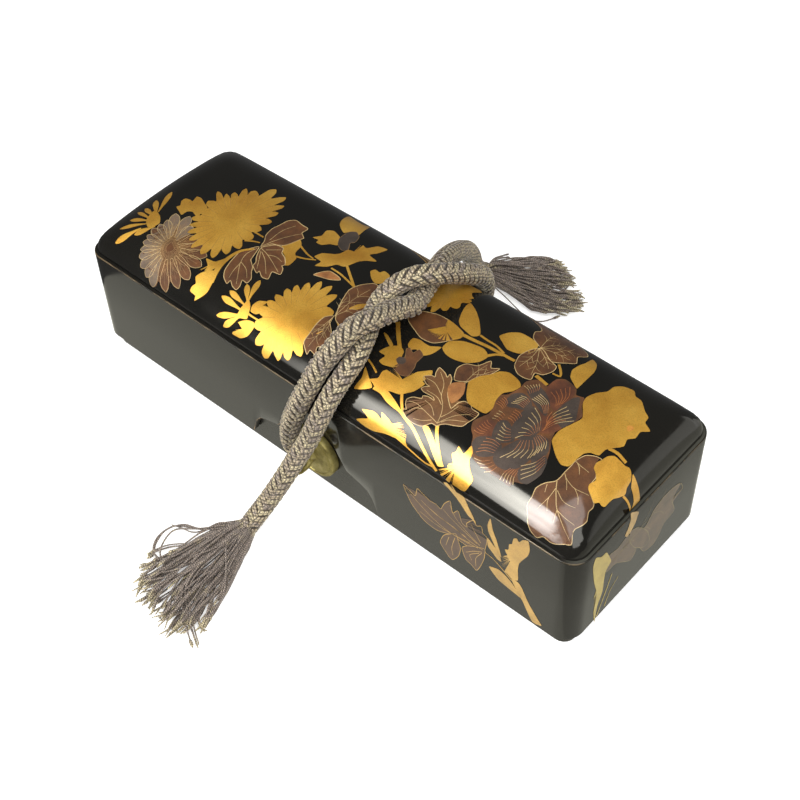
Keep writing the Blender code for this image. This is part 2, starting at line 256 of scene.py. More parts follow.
def makeSilk(name, twistShape, greyShare, gleam):
    # twisted yarns: painted shade in slanting marks along each and in the grooves between them, and a random
    # speckle of pale gilt colour as painted glints
    material, tree, shader = newMaterial(name)
    twist = node(tree, "ShaderNodeTexWave", wave_type="BANDS", bands_direction="DIAGONAL",
                 Scale=1.0, Distortion=2.5, Detail=2.0)
    link(tree, uvPattern(tree, "strand", twistShape), twist.inputs["Vector"])
    toneValue = node(tree, "ShaderNodeAttribute", attribute_name="tone")
    depth = node(tree, "ShaderNodeAttribute", attribute_name="depth")
    place = objectPattern(tree)
    patches = noise(tree, place, silkFinish["patches"], 3.0, 0.6)
    specks = noise(tree, objectPattern(tree, (1.0, 1.0, 1.3)), silkFinish["specks"], 2.0, 0.7)
    fine = noise(tree, place, silkFinish["glint"], 3.0, 0.75)
    body = ramp(tree, patches, [(greyShare, silkFinish["mauve"]), (greyShare + 0.16, silkFinish["beige"])])
    ends = ramp(tree, fine, [(0.40, silkFinish["olive"]), (0.62, silkFinish["giltAndGlint"])])
    share = ramp(tree, toneValue.outputs["Fac"], [(0.55, 0.0), (0.95, 1.0)])
    tone = mixColours(tree, share, body, ends)
    # painted glints: a random speckle of the pale gilt colour
    glint = ramp(tree, fine, [(gleam, 0.0), (gleam + 0.07, 1.0)])
    tone = mixColours(tree, glint, tone, silkFinish["giltAndGlint"])
    # painted shade along the twist's bands of each yarn
    twistShade = ramp(tree, twist.outputs["Fac"], [(0.08, 0.30), (0.50, 1.0)])
    tone = mixColours(tree, 1.0, tone, twistShade, "MULTIPLY")
    dark = ramp(tree, specks, [(0.40, 0.25), (0.48, 1.0)])
    tone = mixColours(tree, 1.0, tone, dark, "MULTIPLY")
    # painted shade in the grooves between the strands
    grooveShade = ramp(tree, depth.outputs["Fac"], [(0.06, 0.0), (0.50, 1.0)])
    tone = mixColours(tree, grooveShade, tone, silkFinish["shade"])
    link(tree, tone, shader.inputs["Base Color"])
    shader.inputs["Roughness"].default_value = 0.55
    shader.inputs["Sheen Weight"].default_value = 0.2
    shader.inputs["Sheen Roughness"].default_value = 0.4
    bump(tree, shader, twist.outputs["Fac"], 0.8, 0.00025)
    return material


# powders of the picture: dark, middle and pale tone, and gloss
pictureFinish = {
    "brown": ((0.05, 0.021, 0.009), (0.084, 0.034, 0.012), (0.132, 0.05, 0.015), 0.2),
    "greyBrown": ((0.028, 0.021, 0.016), (0.041, 0.03, 0.023), (0.062, 0.043, 0.031), 0.2),
    "ashBrown": ((0.085, 0.058, 0.04), (0.13, 0.094, 0.064), (0.155, 0.098, 0.058), 0.22),
    "rust": ((0.045, 0.016, 0.008), (0.078, 0.025, 0.01), (0.14, 0.045, 0.014), 0.26),
    "orange": ((0.16, 0.062, 0.018), (0.27, 0.11, 0.03), (0.36, 0.165, 0.048), 0.32),
    "tan": ((0.072, 0.032, 0.011), (0.11, 0.048, 0.015), (0.165, 0.075, 0.022), 0.26),
    "rustSpot": ((0.34, 0.13, 0.018), (0.42, 0.18, 0.022), (0.42, 0.2, 0.028), 0.38),
    "wallBrown": ((0.036, 0.014, 0.005), (0.052, 0.021, 0.007), (0.074, 0.03, 0.01), 0.2),
    "wallFaint": ((0.058, 0.026, 0.007), (0.084, 0.04, 0.012), (0.11, 0.056, 0.017), 0.2),
    # the walls' gold is the crown's gold made darker, painted shade for the upright walls that the lamps
    # light more strongly
    "wallGold": ((0.29, 0.16, 0.02), (0.37, 0.205, 0.026), (0.44, 0.255, 0.04), 0.4),
    "fineGold": ((0.3, 0.2, 0.08), (0.44, 0.31, 0.13), (0.56, 0.42, 0.2), 0.35),
    "dimGold": ((0.15, 0.084, 0.03), (0.22, 0.125, 0.045), (0.3, 0.18, 0.07), 0.3),
    "fineRust": ((0.22, 0.065, 0.016), (0.32, 0.105, 0.024), (0.42, 0.17, 0.045), 0.32),
    "oliveGold": ((0.32, 0.225, 0.022), (0.4, 0.285, 0.032), (0.48, 0.35, 0.05), 0.3),
    "faintGold": ((0.12, 0.086, 0.02), (0.16, 0.115, 0.028), (0.2, 0.15, 0.04), 0.24),
    "deepGold": ((0.34, 0.155, 0.022), (0.4, 0.19, 0.03), (0.46, 0.235, 0.04), 0.42),
}


def makePowder(name):
    # sprinkled powder under clear lacquer
    darkTone, middleTone, paleTone, gloss = pictureFinish[name]
    material, tree, shader = newMaterial(name + "Powder")
    place = objectPattern(tree)
    broad = noise(tree, place, 130.0, 4.0, 0.6)
    tone = ramp(tree, broad, [(0.34, darkTone), (0.52, middleTone), (0.74, paleTone)])
    grain = noise(tree, place, 2300.0, 2.0)
    speck = ramp(tree, grain, [(0.32, 0.62), (0.58, 1.0)])
    link(tree, mixColours(tree, 0.6, tone, speck, "MULTIPLY"), shader.inputs["Base Color"])
    shader.inputs["Roughness"].default_value = 0.6
    shader.inputs["Specular IOR Level"].default_value = gloss
    clearCoat(shader)
    bump(tree, shader, grain, 0.15, 0.00004)
    return material


blackLacquer = makeLacquer("blackLacquer", lacquerFinish["polish"])
trayLacquer = makeLacquer("trayLacquer", (0.22, 0.34))
wornEdge = makeLacquer("wornEdge", (0.30, 0.50), worn="wornWood")
wornRim = makeLacquer("wornRim", (0.40, 0.60), worn="paleWood")
dullRim = makeLacquer("dullRim", (0.45, 0.60))
# the ledge's +x end carries a painted sheen in paler grey
dullLedge = makeLacquer("dullLedge", (0.25, 0.45), sheenFrom=0.1175)
sprinkledGold = makeGold()
agedBrass = makeBrass()
print("finishes ready")


def addPiece(name, mesh, materials, smoothAngle=None):
    piece = bpy.data.objects.new(name, mesh)
    for material in materials:
        mesh.materials.append(material)
    scene.collection.objects.link(piece)
    if smoothAngle is not None:
        mesh.shade_smooth()
        mesh.set_sharp_from_angle(angle=math.radians(smoothAngle))
    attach(piece, "root")
    return piece


def toMesh(name, shell, weld=1e-7):
    bmesh.ops.remove_doubles(shell, verts=shell.verts, dist=weld)
    bmesh.ops.recalc_face_normals(shell, faces=shell.faces)
    mesh = bpy.data.meshes.new(name)
    shell.to_mesh(mesh)
    shell.free()
    return mesh


# cords: the middle of each, from its ring to its tassel, as the solids have it
cordRoutes = {
    "front_cord": [
        (0.0008, -0.0469, 0.0184), (-0.0034, -0.0470, 0.0199), (-0.0053, -0.0469, 0.0232),
        (-0.0060, -0.0467, 0.0276), (-0.0048, -0.0469, 0.0357), (-0.0016, -0.0468, 0.0448),
        (0.0019, -0.0459, 0.0543), (0.0049, -0.0430, 0.0634), (0.0073, -0.0390, 0.0714),
        (0.0097, -0.0344, 0.0774), (0.0114, -0.0299, 0.0816), (0.0127, -0.0258, 0.0838),
        (0.0140, -0.0218, 0.0842), (0.0150, -0.0174, 0.0835), (0.0155, -0.0119, 0.0820),
        (0.0157, -0.0055, 0.0796), (0.0158, 0.0018, 0.0759), (0.0130, 0.0109, 0.0749),
        (0.0096, 0.0209, 0.0738), (0.0056, 0.0310, 0.0709), (0.0013, 0.0409, 0.0651),
        (-0.0031, 0.0508, 0.0577), (-0.0075, 0.0601, 0.0492), (-0.0115, 0.0680, 0.0399),
        (-0.0151, 0.0744, 0.0307), (-0.0186, 0.0799, 0.0216), (-0.0228, 0.0867, 0.0115),
        (-0.0236, 0.0915, 0.0061), (-0.0182, 0.0951, 0.0046),
    ],
    "back_cord": [
        (-0.0008, 0.0469, 0.0184), (0.0034, 0.0470, 0.0199), (0.0053, 0.0472, 0.0232),
        (0.0070, 0.0477, 0.0276), (0.0103, 0.0482, 0.0380), (0.0137, 0.0471, 0.0502),
        (0.0164, 0.0420, 0.0615), (0.0180, 0.0339, 0.0695), (0.0183, 0.0267, 0.0754),
        (0.0178, 0.0207, 0.0795), (0.0167, 0.0156, 0.0822), (0.0148, 0.0112, 0.0838),
        (0.0125, 0.0074, 0.0843), (0.0101, 0.0038, 0.0832), (0.0079, 0.0007, 0.0811),
        (0.0066, -0.0028, 0.0793), (0.0065, -0.0065, 0.0778), (0.0075, -0.0104, 0.0766),
        (0.0094, -0.0144, 0.0757), (0.0116, -0.0188, 0.0749), (0.0136, -0.0238, 0.0738),
        (0.0152, -0.0294, 0.0718), (0.0153, -0.0351, 0.0686), (0.0146, -0.0404, 0.0640),
        (0.0132, -0.0446, 0.0573), (0.0112, -0.0477, 0.0493), (0.0086, -0.0504, 0.0404),
        (0.0055, -0.0540, 0.0316), (0.0028, -0.0588, 0.0227), (-0.0010, -0.0643, 0.0119),
        (-0.0022, -0.0719, 0.0063), (-0.0018, -0.0781, 0.0046),
    ],
}

braid = {
    "eachWay": 6,  # strands that wind one way round; as many wind the other way
    "columns": 2,  # rows of V shapes round the cord
    "turn": 0.0204,  # length of cord for one full turn of a strand
    "radius": 0.0043,
    "atRing": (0.0027, 0.0028, 0.0033, 0.0040),  # radii where the cord passes through its ring
    "atTassel": 0.0042,
    "middle": 0.0030,  # strands' mean distance from the centre line
    "weave": 0.00066,  # how far they rise and dip as they pass over and under
    "halfWidth": 0.00132,
    "halfThick": 0.00074,
    "step": 0.00045,
    "core": 0.0027,
    "coreStep": 4,  # the core takes every fourth point, and the cord's stated path every sixth
    "pathStep": 6,
}


def walk(points):
    # the way gone along the points
    return np.concatenate([[0.0], np.cumsum(np.linalg.norm(np.diff(points, axis=0), axis=1))])


def smoothRoute(route, step):
    # even points along a smooth curve through the route's points
    points = np.array(route, float)
    points = np.vstack([2 * points[0] - points[1], points, 2 * points[-1] - points[-2]])
    fine = []
    for a, b, c, d in zip(points, points[1:], points[2:], points[3:]):
        for t in np.linspace(0.0, 1.0, 24, endpoint=False):
            fine.append(0.5 * (2 * b + (c - a) * t + (2 * a - 5 * b + 4 * c - d) * t ** 2
                               + (3 * b - a - 3 * c + d) * t ** 3))
    fine.append(points[-2])
    fine = np.array(fine)
    gone = walk(fine[:, :3])
    count = max(2, round(gone[-1] / step))
    wanted = np.linspace(0.0, gone[-1], count + 1)
    return np.stack([np.interp(wanted, gone, fine[:, k]) for k in range(fine.shape[1])], axis=1), wanted


def unit(vectors):
    return vectors / np.maximum(np.linalg.norm(vectors, axis=-1, keepdims=True), 1e-12)


def carriedFrames(points, firstSide=(0.0, 0.0, 1.0)):
    # at each point two directions across the line, that turn as little as they can
    along = unit(np.gradient(points, axis=0))
    side = np.array(firstSide, float)
    sides = []
    for direction in along:
        side = side - direction * side.dot(direction)
        side = side / np.linalg.norm(side)
        sides.append(side)
    sides = np.array(sides)
    return sides, np.cross(along, sides)


def roundRings(line, side, up, radii, sides):
    turns = np.linspace(0.0, 2 * math.pi, sides, endpoint=False)
    return line[:, None] + radii[:, None, None] * (
        side[:, None] * np.cos(turns)[None, :, None] + up[:, None] * np.sin(turns)[None, :, None])


class Sweeper:
    # collects tubes of any section in one mesh, with a uv map along and around each
    def __init__(self):
        self.points, self.faces, self.uvs, self.tones, self.depths, self.count = [], [], [], [], [], 0

    def add(self, rings, gone, tone=0.5, depth=0.0):
        # rings: points as (ring, side, xyz); gone: the way along the tube at each ring
        length, sides = rings.shape[:2]
        start = self.count
        self.points.append(rings.reshape(-1, 3))
        self.tones.append(np.broadcast_to(np.reshape(tone, (-1, 1)), (length, sides)).ravel())
        self.depths.append(np.broadcast_to(np.reshape(depth, (1, -1)), (length, sides)).ravel())
        for ring in range(length - 1):
            here, there = start + ring * sides, start + (ring + 1) * sides
            for side in range(sides):
                after = (side + 1) % sides
                self.faces.append((here + side, here + after, there + after, there + side))
                low, high = side / sides, (side + 1) / sides
                self.uvs.extend(((gone[ring], low), (gone[ring], high),
                                 (gone[ring + 1], high), (gone[ring + 1], low)))
        for ring, order in ((0, range(sides - 1, -1, -1)), (length - 1, range(sides))):
            self.faces.append(tuple(start + ring * sides + side for side in order))
            self.uvs.extend((gone[ring], side / sides) for side in order)
        self.count += length * sides

    def mesh(self, name):
        mesh = bpy.data.meshes.new(name)
        mesh.from_pydata(np.concatenate(self.points).tolist(), [], self.faces)
        layer = mesh.uv_layers.new(name="strand")
        layer.data.foreach_set("uv", np.array(self.uvs, np.float32).ravel())
        for label, values in (("tone", self.tones), ("depth", self.depths)):
            layer = mesh.attributes.new(label, "FLOAT", "POINT")
            layer.data.foreach_set("value", np.concatenate(values).astype(np.float32))
        mesh.shade_smooth()
        return mesh


def bundleSection():
    # section of one strand, with its depth in the groove: two yarns side by side, flat underneath
    half = [(0.02, 0.72, 0.3), (0.34, 0.95, 0.0), (0.70, 0.62, 0.25), (0.90, 0.10, 0.75), (0.98, -0.50, 1.0),
            (0.60, -0.95, 1.0)]
    left = [(-across, up, depth) for across, up, depth in reversed(half[:5])]
    shape = np.array(left + half + [(-0.60, -0.95, 1.0)])
    return shape[:, :2] * (braid["halfWidth"], braid["halfThick"]), shape[:, 2]


braidedSilk = makeSilk("braidedSilk", (0.42, 1.0, 1.0), 0.40, 0.62)
tasselYarn = makeSilk("tasselYarn", (0.75, 0.6, 1.0), 0.58, 0.68)


def makeBraid(name):
    points = cordRoutes[name]
    full = [braid["radius"]] * (len(points) - len(braid["atRing"]) - 1)
    radii = [*braid["atRing"], *full, braid["atTassel"]]
    route, gone = smoothRoute(np.column_stack([points, radii]), braid["step"])
    centre, radius = route[:, :3], route[:, 3:4] / braid["radius"]
    side, up = carriedFrames(centre)
    section, grooveShade = bundleSection()
    rope = Sweeper()
    draw = random.Random(name)
    for way in (1, -1):
        for number in range(braid["eachWay"]):
            angle = way * 2 * math.pi * gone / braid["turn"] + 2 * math.pi * number / braid["eachWay"]
            reach = braid["middle"] + way * braid["weave"] * np.cos(braid["columns"] * angle)
            turned = angle[:, None]
            outward = side * np.cos(turned) + up * np.sin(turned)
            line = centre + outward * (reach[:, None] * radius)
            direction = unit(np.gradient(line, axis=0))
            outward = unit(outward - direction * np.sum(outward * direction, axis=1, keepdims=True))
            across = np.cross(direction, outward)
            rings = (line[:, None] + across[:, None] * section[None, :, :1] * radius[:, :, None]
                     + outward[:, None] * section[None, :, 1:] * radius[:, :, None])
            rope.add(rings, walk(line) * millimetres, draw.random(), grooveShade)
    core = roundRings(centre, side, up, braid["core"] * radius[:, 0], 12)
    rope.add(core[::braid["coreStep"]], gone[::braid["coreStep"]] * millimetres)
    piece = addPiece(name.replace("_", "") + "Braid", rope.mesh(name), [braidedSilk])
    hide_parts(name)
    path = centre[::braid["pathStep"]]
    if (len(centre) - 1) % braid["pathStep"]:
        path = np.vstack([path, centre[-1:]])
    return piece, path, gone[-1]


# tassels: a fan of yarns in mm; each row runs from the left edge to the right one, from the neck to the tips
tassels = {
    "front_tassel": {
        "fan": [
            [(-5.3, -76.0), (-3.6, -76.2), (-1.8, -76.4), (0.0, -76.6), (1.7, -76.8)],
            [(-10.2, -82.4), (-6.6, -84.3), (-2.0, -85.5), (2.1, -85.1), (5.4, -83.2)],
            [(-12.8, -92.1), (-8.2, -94.6), (-1.9, -96.1), (4.2, -94.6), (8.6, -93.1)],
            [(-14.7, -101.7), (-9.6, -105.2), (-1.9, -107.3), (6.2, -105.2), (12.9, -102.2)],
            [(-17.7, -109.3), (-12.0, -116.4), (-1.3, -119.4), (8.6, -117.9), (15.9, -111.3)],
            [(-20.3, -115.4), (-13.0, -125.0), (0.0, -129.0), (9.1, -128.8), (16.5, -119.4)],
        ],
        "tall": [3.2, 4.1, 4.1, 3.7, 3.2, 2.2],
        "yarns": 150, "tangle": 0.3, "seed": 11,
        "strays": [
            [(-3.5, -77.4, 5.5), (-9.9, -83.3, 7.0), (-12.3, -89.6, 7.2), (-19.0, -91.7, 5.0),
             (-25.4, -94.8, 3.0), (-27.0, -101.5, 1.6), (-23.4, -107.0, 1.2), (-16.9, -108.2, 1.2)],
            [(-3.3, -77.4, 5.0), (-9.8, -85.6, 6.6), (-14.5, -92.8, 6.6), (-21.4, -93.8, 4.6),
             (-26.8, -94.5, 2.6)],
            [(-3.5, -77.4, 4.5), (-9.6, -87.9, 6.6), (-13.4, -97.6, 5.0), (-19.3, -101.9, 2.4),
             (-22.6, -106.0, 1.2), (-24.7, -109.4, 0.9)],
            [(-3.1, -77.4, 6.0), (-9.4, -87.8, 8.0), (-16.3, -92.5, 7.0), (-23.0, -96.0, 4.0),
             (-23.2, -101.7, 2.2), (-20.1, -106.4, 1.6), (-12.6, -109.2, 1.6)],
            [(-3.3, -77.4, 5.2), (-10.0, -94.5, 5.6), (-16.3, -99.3, 4.4), (-21.1, -102.6, 2.4),
             (-23.9, -107.5, 1.0), (-23.7, -109.7, 0.8)],
            [(-2.9, -77.4, 6.4), (-8.4, -85.5, 8.6), (-13.3, -91.1, 8.4), (-21.0, -92.8, 6.0),
             (-26.4, -97.4, 2.6), (-25.8, -103.3, 1.2), (-22.7, -108.0, 0.9), (-23.4, -110.8, 0.8)],
            [(-1.5, -77.4, 6.4), (0.1, -89.2, 8.6), (7.8, -97.6, 7.6), (13.9, -105.6, 5.0),
             (14.5, -113.2, 3.4)],
            [(-1.1, -77.4, 6.0), (-0.7, -86.4, 8.8), (-2.1, -93.5, 8.4), (-5.9, -101.5, 7.6),
             (-7.4, -110.4, 6.4), (-10.0, -119.6, 4.0)],
            [(-1.5, -77.4, 5.0), (-0.5, -92.5, 8.4), (-1.1, -102.7, 7.8), (1.5, -112.3, 6.6),
             (8.6, -118.5, 4.6), (15.4, -122.7, 2.6), (21.2, -125.6, 1.2)],
            [(-1.3, -77.4, 5.2), (0.3, -93.0, 8.0), (0.1, -103.1, 7.4), (2.5, -111.8, 6.0),
             (9.4, -117.7, 4.0), (16.0, -122.0, 2.2), (20.4, -124.4, 1.1)],
            [(-1.5, -77.4, 5.4), (-0.9, -93.6, 8.2), (-1.9, -103.7, 7.4), (0.7, -113.3, 6.2),
             (7.6, -119.7, 4.0), (14.3, -124.0, 2.2), (19.6, -126.8, 1.1)],
            [(-0.9, -77.4, 5.4), (4.6, -95.6, 6.6), (5.6, -107.8, 5.0), (9.7, -115.9, 3.0),
             (16.3, -118.9, 1.6), (18.2, -118.3, 1.0)],
        ],
    },
    "back_tassel": {
        "fan": [
            [(-24.4, 93.4), (-23.6, 92.4), (-22.4, 91.6), (-20.7, 90.8), (-19.3, 90.2)],
            [(-22.6, 99.9), (-19.3, 97.3), (-16.1, 94.7), (-12.8, 91.8), (-10.0, 89.4)],
            [(-16.9, 107.2), (-12.0, 103.2), (-7.2, 98.7), (-2.9, 93.4), (-0.5, 89.0)],
            [(-11.0, 113.7), (-5.8, 109.2), (0.7, 103.0), (6.0, 95.9), (7.6, 88.6)],
            [(-5.3, 118.6), (0.3, 113.7), (8.6, 107.2), (15.1, 99.5), (15.1, 91.4)],
            [(-0.5, 121.6), (5.6, 117.6), (15.5, 113.3), (23.2, 106.4), (22.8, 99.9)],
        ],
        "tall": [3.2, 4.2, 4.2, 3.8, 3.3, 2.4],
        "yarns": 160, "tangle": 0.22, "seed": 23,
        "strays": [
            [(-20.8, 92.4, 5.0), (-15.7, 88.8, 5.0), (-5.5, 86.7, 4.0), (3.0, 85.5, 2.0),
             (8.9, 84.9, 1.0), (14.7, 87.5, 1.0), (18.9, 94.7, 1.6)],
            [(-21.8, 93.5, 6.4), (-22.2, 99.0, 8.0), (-22.0, 105.0, 6.0), (-22.0, 110.4, 3.4)],
            [(-21.4, 93.5, 6.0), (-21.2, 99.6, 7.8), (-20.4, 105.4, 5.6), (-20.9, 109.2, 3.0)],
            [(-21.6, 93.7, 6.2), (-21.6, 99.2, 8.0), (-21.4, 104.0, 6.2), (-18.9, 108.6, 3.6),
             (-15.7, 109.0, 3.0)],
            [(-20.8, 93.2, 5.0), (-7.6, 90.8, 7.4), (4.6, 93.5, 6.6), (15.7, 99.9, 4.4),
             (23.8, 105.4, 2.4)],
        ],
    },
}
yarnShape = {
    "radius": 0.36, "knot": 0.66, "knotted": 0.6,  # the last is the share of yarns with a knot
    "sides": 5, "steps": 24,
    "middle": [4.6, 4.9, 4.8, 4.4, 3.9, 2.8],  # height of the brush's middle at each row of the fan
    "paleNeck": 0.12, "paleTips": 0.86, "paleStrays": 0.88,
    "past": 40.0, "curl": 1.6,  # how far the long ones run past the fan, and how far their tips turn
}


def yarnTube(brush, line, paleFrom, draw):
    # line in mm; a knot near the tip, and a short frayed end past it
    count = len(line)
    radii = np.full(count, yarnShape["radius"] * draw.uniform(0.85, 1.15))
    if draw.random() < yarnShape["knotted"]:
        radii[-3:-1] = yarnShape["knot"] * draw.uniform(0.75, 1.05)
    radii[-1] *= 0.6
    line[:, 2] = np.maximum(line[:, 2], radii + 0.05)
    side, up = carriedFrames(line, (0.3, 0.2, 1.0))
    rings = roundRings(line, side, up, radii, yarnShape["sides"])
    share = np.linspace(0.0, 1.0, count)
    tone = draw.uniform(0.0, 0.5) + 0.9 * np.clip(1.0 - share / yarnShape["paleNeck"], 0.0, 1.0)
    tone = tone + 0.9 * np.clip((share - paleFrom) / (1.0 - paleFrom), 0.0, 1.0)
    brush.add(rings / millimetres, walk(line), np.minimum(tone, 1.0))


def makeTassel(name):
    facts = tassels[name]
    draw = random.Random(facts["seed"])
    fan = np.array(facts["fan"])
    rows = np.linspace(0.0, 1.0, len(fan))
    columns = np.linspace(-1.0, 1.0, fan.shape[1])
    brush = Sweeper()
    for _ in range(facts["yarns"]):
        reach = draw.uniform(0.90, 1.03) if draw.random() < 0.75 else draw.uniform(0.66, 0.90)
        t = np.linspace(0.0, reach, yarnShape["steps"])
        spread = draw.uniform(-1.0, 1.0)
        level = draw.uniform(-1.0, 1.0) * math.sqrt(max(1.0 - spread ** 2, 0.08))
        drift = draw.gauss(0.0, facts["tangle"])
        sway = [draw.uniform(-1.0, 1.0) for _ in range(6)]
        wander = sway[0] * np.sin(4.0 * t + 6.0 * sway[1]) + 0.5 * sway[2] * np.sin(11.0 * t + 6.0 * sway[3])
        place = np.clip(spread + t * (drift * t + 0.22 * wander), -1.05, 1.05)
        row = np.clip(t, 0.0, 1.0)
        line = np.zeros((len(t), 3))
        for axis in (0, 1):
            edges = np.array([np.interp(row, rows, column) for column in fan[:, :, axis].T])
            line[:, axis] = [np.interp(place[step], columns, edges[:, step]) for step in range(len(t))]
        line += np.maximum(t - 1.0, 0.0)[:, None] * yarnShape["past"] * unit(line[-6] - line[-12])
        rise = np.clip(level + 0.35 * t * np.sin(9.0 * t + 6.0 * sway[4]), -1.0, 1.0)
        line[:, 2] = np.interp(row, rows, yarnShape["middle"]) + rise * np.interp(row, rows, facts["tall"])
        curl = np.clip((t - reach + 0.12) / 0.12, 0.0, 1.0) ** 2
        line[:, 0] += curl * yarnShape["curl"] * sway[5]
        line[:, 1] += curl * yarnShape["curl"] * sway[4]
        yarnTube(brush, line, yarnShape["paleTips"], draw)
    for stray in facts["strays"]:
        line, _ = smoothRoute(stray, 1.3)
        yarnTube(brush, line, yarnShape["paleStrays"], draw)
    piece = addPiece(name.replace("_", "") + "Yarns", brush.mesh(name), [tasselYarn])
    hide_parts(name)
    return piece


frontBraid, frontPath, frontLength = makeBraid("front_cord")
backBraid, backPath, backLength = makeBraid("back_cord")
frontTassel = makeTassel("front_tassel")
backTassel = makeTassel("back_tassel")
print("cords and tassels made:", round(frontLength, 4), round(backLength, 4))

# the lid, with its crown, ledge and the cut-outs in its skirt
lidShape = {
    "length": 0.2500, "width": 0.0831, "ledge": 0.0526, "corner": 0.0079, "leastCorner": 0.0012,
    "round": 0.0005, "ledgeWidth": 0.0015, "shoulder": 0.0172, "shoulderHeight": 0.0109,
    "crownAcross": 0.00385, "crownAlong": 0.00247, "hip": 2.7, "roofWall": 0.0030, "skirtWall": 0.0026,
    "skirtBottom": 0.0070, "innerShoulder": 0.0145, "roofInset": 0.00595,
    "cornerSteps": 12, "longSteps": 110, "shortSteps": 36,
    "crownDepth": 0.0375, "cornerBlend": 8.0,  # how far in its rings go, how crisp its corners are
    "rimRound": 0.00035, "cutReach": 0.0345, "wornEnd": 0.008,
}
lidSlots = {"wornEdge": 1, "dullLedge": 2, "dullRim": 3, "wornRim": 4}  # the rest, in slot 0, is black
# half of a cut-out's edge, from its middle to its foot
cutoutHalf = [
    (0.0000, 0.0409), (0.0032, 0.0402), (0.0064, 0.0387), (0.0098, 0.0360), (0.0124, 0.0319),
    (0.0140, 0.0281), (0.0160, 0.0247), (0.0182, 0.0211), (0.0213, 0.0203), (0.0250, 0.0192),
    (0.0285, 0.0177), (0.0308, 0.0149), (0.0322, 0.0115), (0.0334, 0.0077), (0.0340, 0.0037),
]


def roundedLoop(halfX, halfY, radius):
    # a level loop with round corners, with the same number of points at every size
    radius = min(radius, 0.9 * halfY)
    points = []
    for sideX, sideY, start in ((1, -1, -90), (1, 1, 0), (-1, 1, 90), (-1, -1, 180)):
        middleX, middleY = sideX * (halfX - radius), sideY * (halfY - radius)
        for step in range(lidShape["cornerSteps"] + 1):
            angle = math.radians(start + 90.0 * step / lidShape["cornerSteps"])
            points.append((middleX + radius * math.cos(angle), middleY + radius * math.sin(angle)))
        upright = sideX * sideY < 0
        steps = lidShape["shortSteps"] if upright else lidShape["longSteps"]
        reach = 2.0 * ((halfY if upright else halfX) - radius)
        lastX, lastY = points[-1]
        for step in range(1, steps):
            shift = reach * step / steps
            points.append((lastX, lastY + sideX * shift) if upright else (lastX - sideY * shift, lastY))
    return np.array(points)


def quarterRound(distance, reach):
    share = np.clip(distance / reach, 0.0, 1.0)
    return np.sqrt(np.maximum(1.0 - (1.0 - share) ** 2, 0.0))


def softLeast(first, second, sharpness):
    inside = (first > 0.0) & (second > 0.0)
    a, b = np.where(inside, first, 1.0), np.where(inside, second, 1.0)
    return np.where(inside, (a ** -sharpness + b ** -sharpness - 1.0) ** (-1.0 / sharpness), 0.0)


def crownHeight(x, y, halfX, halfY, footRadius, shoulder):
    fromEnd, fromSide = halfX - np.abs(x), halfY - np.abs(y)
    share = softLeast(quarterRound(fromEnd, shoulder), quarterRound(fromSide, shoulder), lidShape["hip"])
    corner = (fromEnd < footRadius) & (fromSide < footRadius)
    reach = np.where(corner, np.hypot(footRadius - fromEnd, footRadius - fromSide), 0.0)
    cornerShare = np.where(corner, quarterRound(footRadius - reach, shoulder), 1.0)
    share = softLeast(share, cornerShare, lidShape["cornerBlend"])
    crown = (lidShape["crownAcross"] * (1.0 - (y / halfY) ** 2)
             + lidShape["crownAlong"] * (1.0 - (x / halfX) ** 2))
    return (lidShape["shoulderHeight"] + crown) * share


def levelRing(inset, height):
    radius = max(lidShape["corner"] - inset, lidShape["leastCorner"])
    loop = roundedLoop(lidShape["length"] / 2 - inset, lidShape["width"] / 2 - inset, radius)
    return np.column_stack([loop, np.full(len(loop), height)])


def crownRings(footInset, footHeight, shoulder, insets):
    # rings over the crown, or under the roof, at these distances in from its foot
    halfX, halfY = lidShape["length"] / 2 - footInset, lidShape["width"] / 2 - footInset
    footRadius = max(lidShape["corner"] - footInset, lidShape["leastCorner"])
    rings = []
    for inset in insets:
        radius = max(footRadius - 0.4 * inset, lidShape["leastCorner"])
        loop = roundedLoop(halfX - inset, halfY - inset, radius)
        height = footHeight + crownHeight(loop[:, 0], loop[:, 1], halfX, halfY, footRadius, shoulder)
        rings.append(np.column_stack([loop, height]))
    return rings


def skinRings(rings):
    # one skin through all rings, closed at its two ends
    shell = bmesh.new()
    first = bmesh.ops.create_circle(shell, segments=len(rings[0]), radius=1.0)["verts"]
    for vert, point in zip(first, rings[0]):
        vert.co = point
    edges = list(shell.edges)
    bmesh.ops.contextual_create(shell, geom=edges)
    for ring in rings[1:]:
        grown = bmesh.ops.extrude_edge_only(shell, edges=edges)["geom"]
        edges = [part for part in grown if isinstance(part, bmesh.types.BMEdge)]
        for vert, point in zip((part for part in grown if isinstance(part, bmesh.types.BMVert)), ring):
            vert.co = point
    bmesh.ops.contextual_create(shell, geom=edges)
    bmesh.ops.triangulate(shell, faces=[face for face in shell.faces if len(face.verts) > 4])
    return shell


def makeCutter():
    # a bar through both long sides, with the cut-outs' outline
    outline = [(-x, z) for x, z in reversed(cutoutHalf[1:])] + cutoutHalf
    prism = bmesh.new()
    verts = bmesh.ops.create_circle(prism, segments=len(outline), radius=1.0)["verts"]
    for vert, (x, z) in zip(verts, outline):
        vert.co = (x, -0.6 * lidShape["width"], z)
    face = bmesh.ops.contextual_create(prism, geom=list(prism.edges))["faces"]
    swept = bmesh.ops.extrude_face_region(prism, geom=face)["geom"]
    moved = [part for part in swept if isinstance(part, bmesh.types.BMVert)]
    bmesh.ops.translate(prism, verts=moved, vec=(0.0, 1.2 * lidShape["width"], 0.0))
    cutter = bpy.data.objects.new("skirtCutter", toMesh("skirtCutter", prism))
    scene.collection.objects.link(cutter)
    return cutter


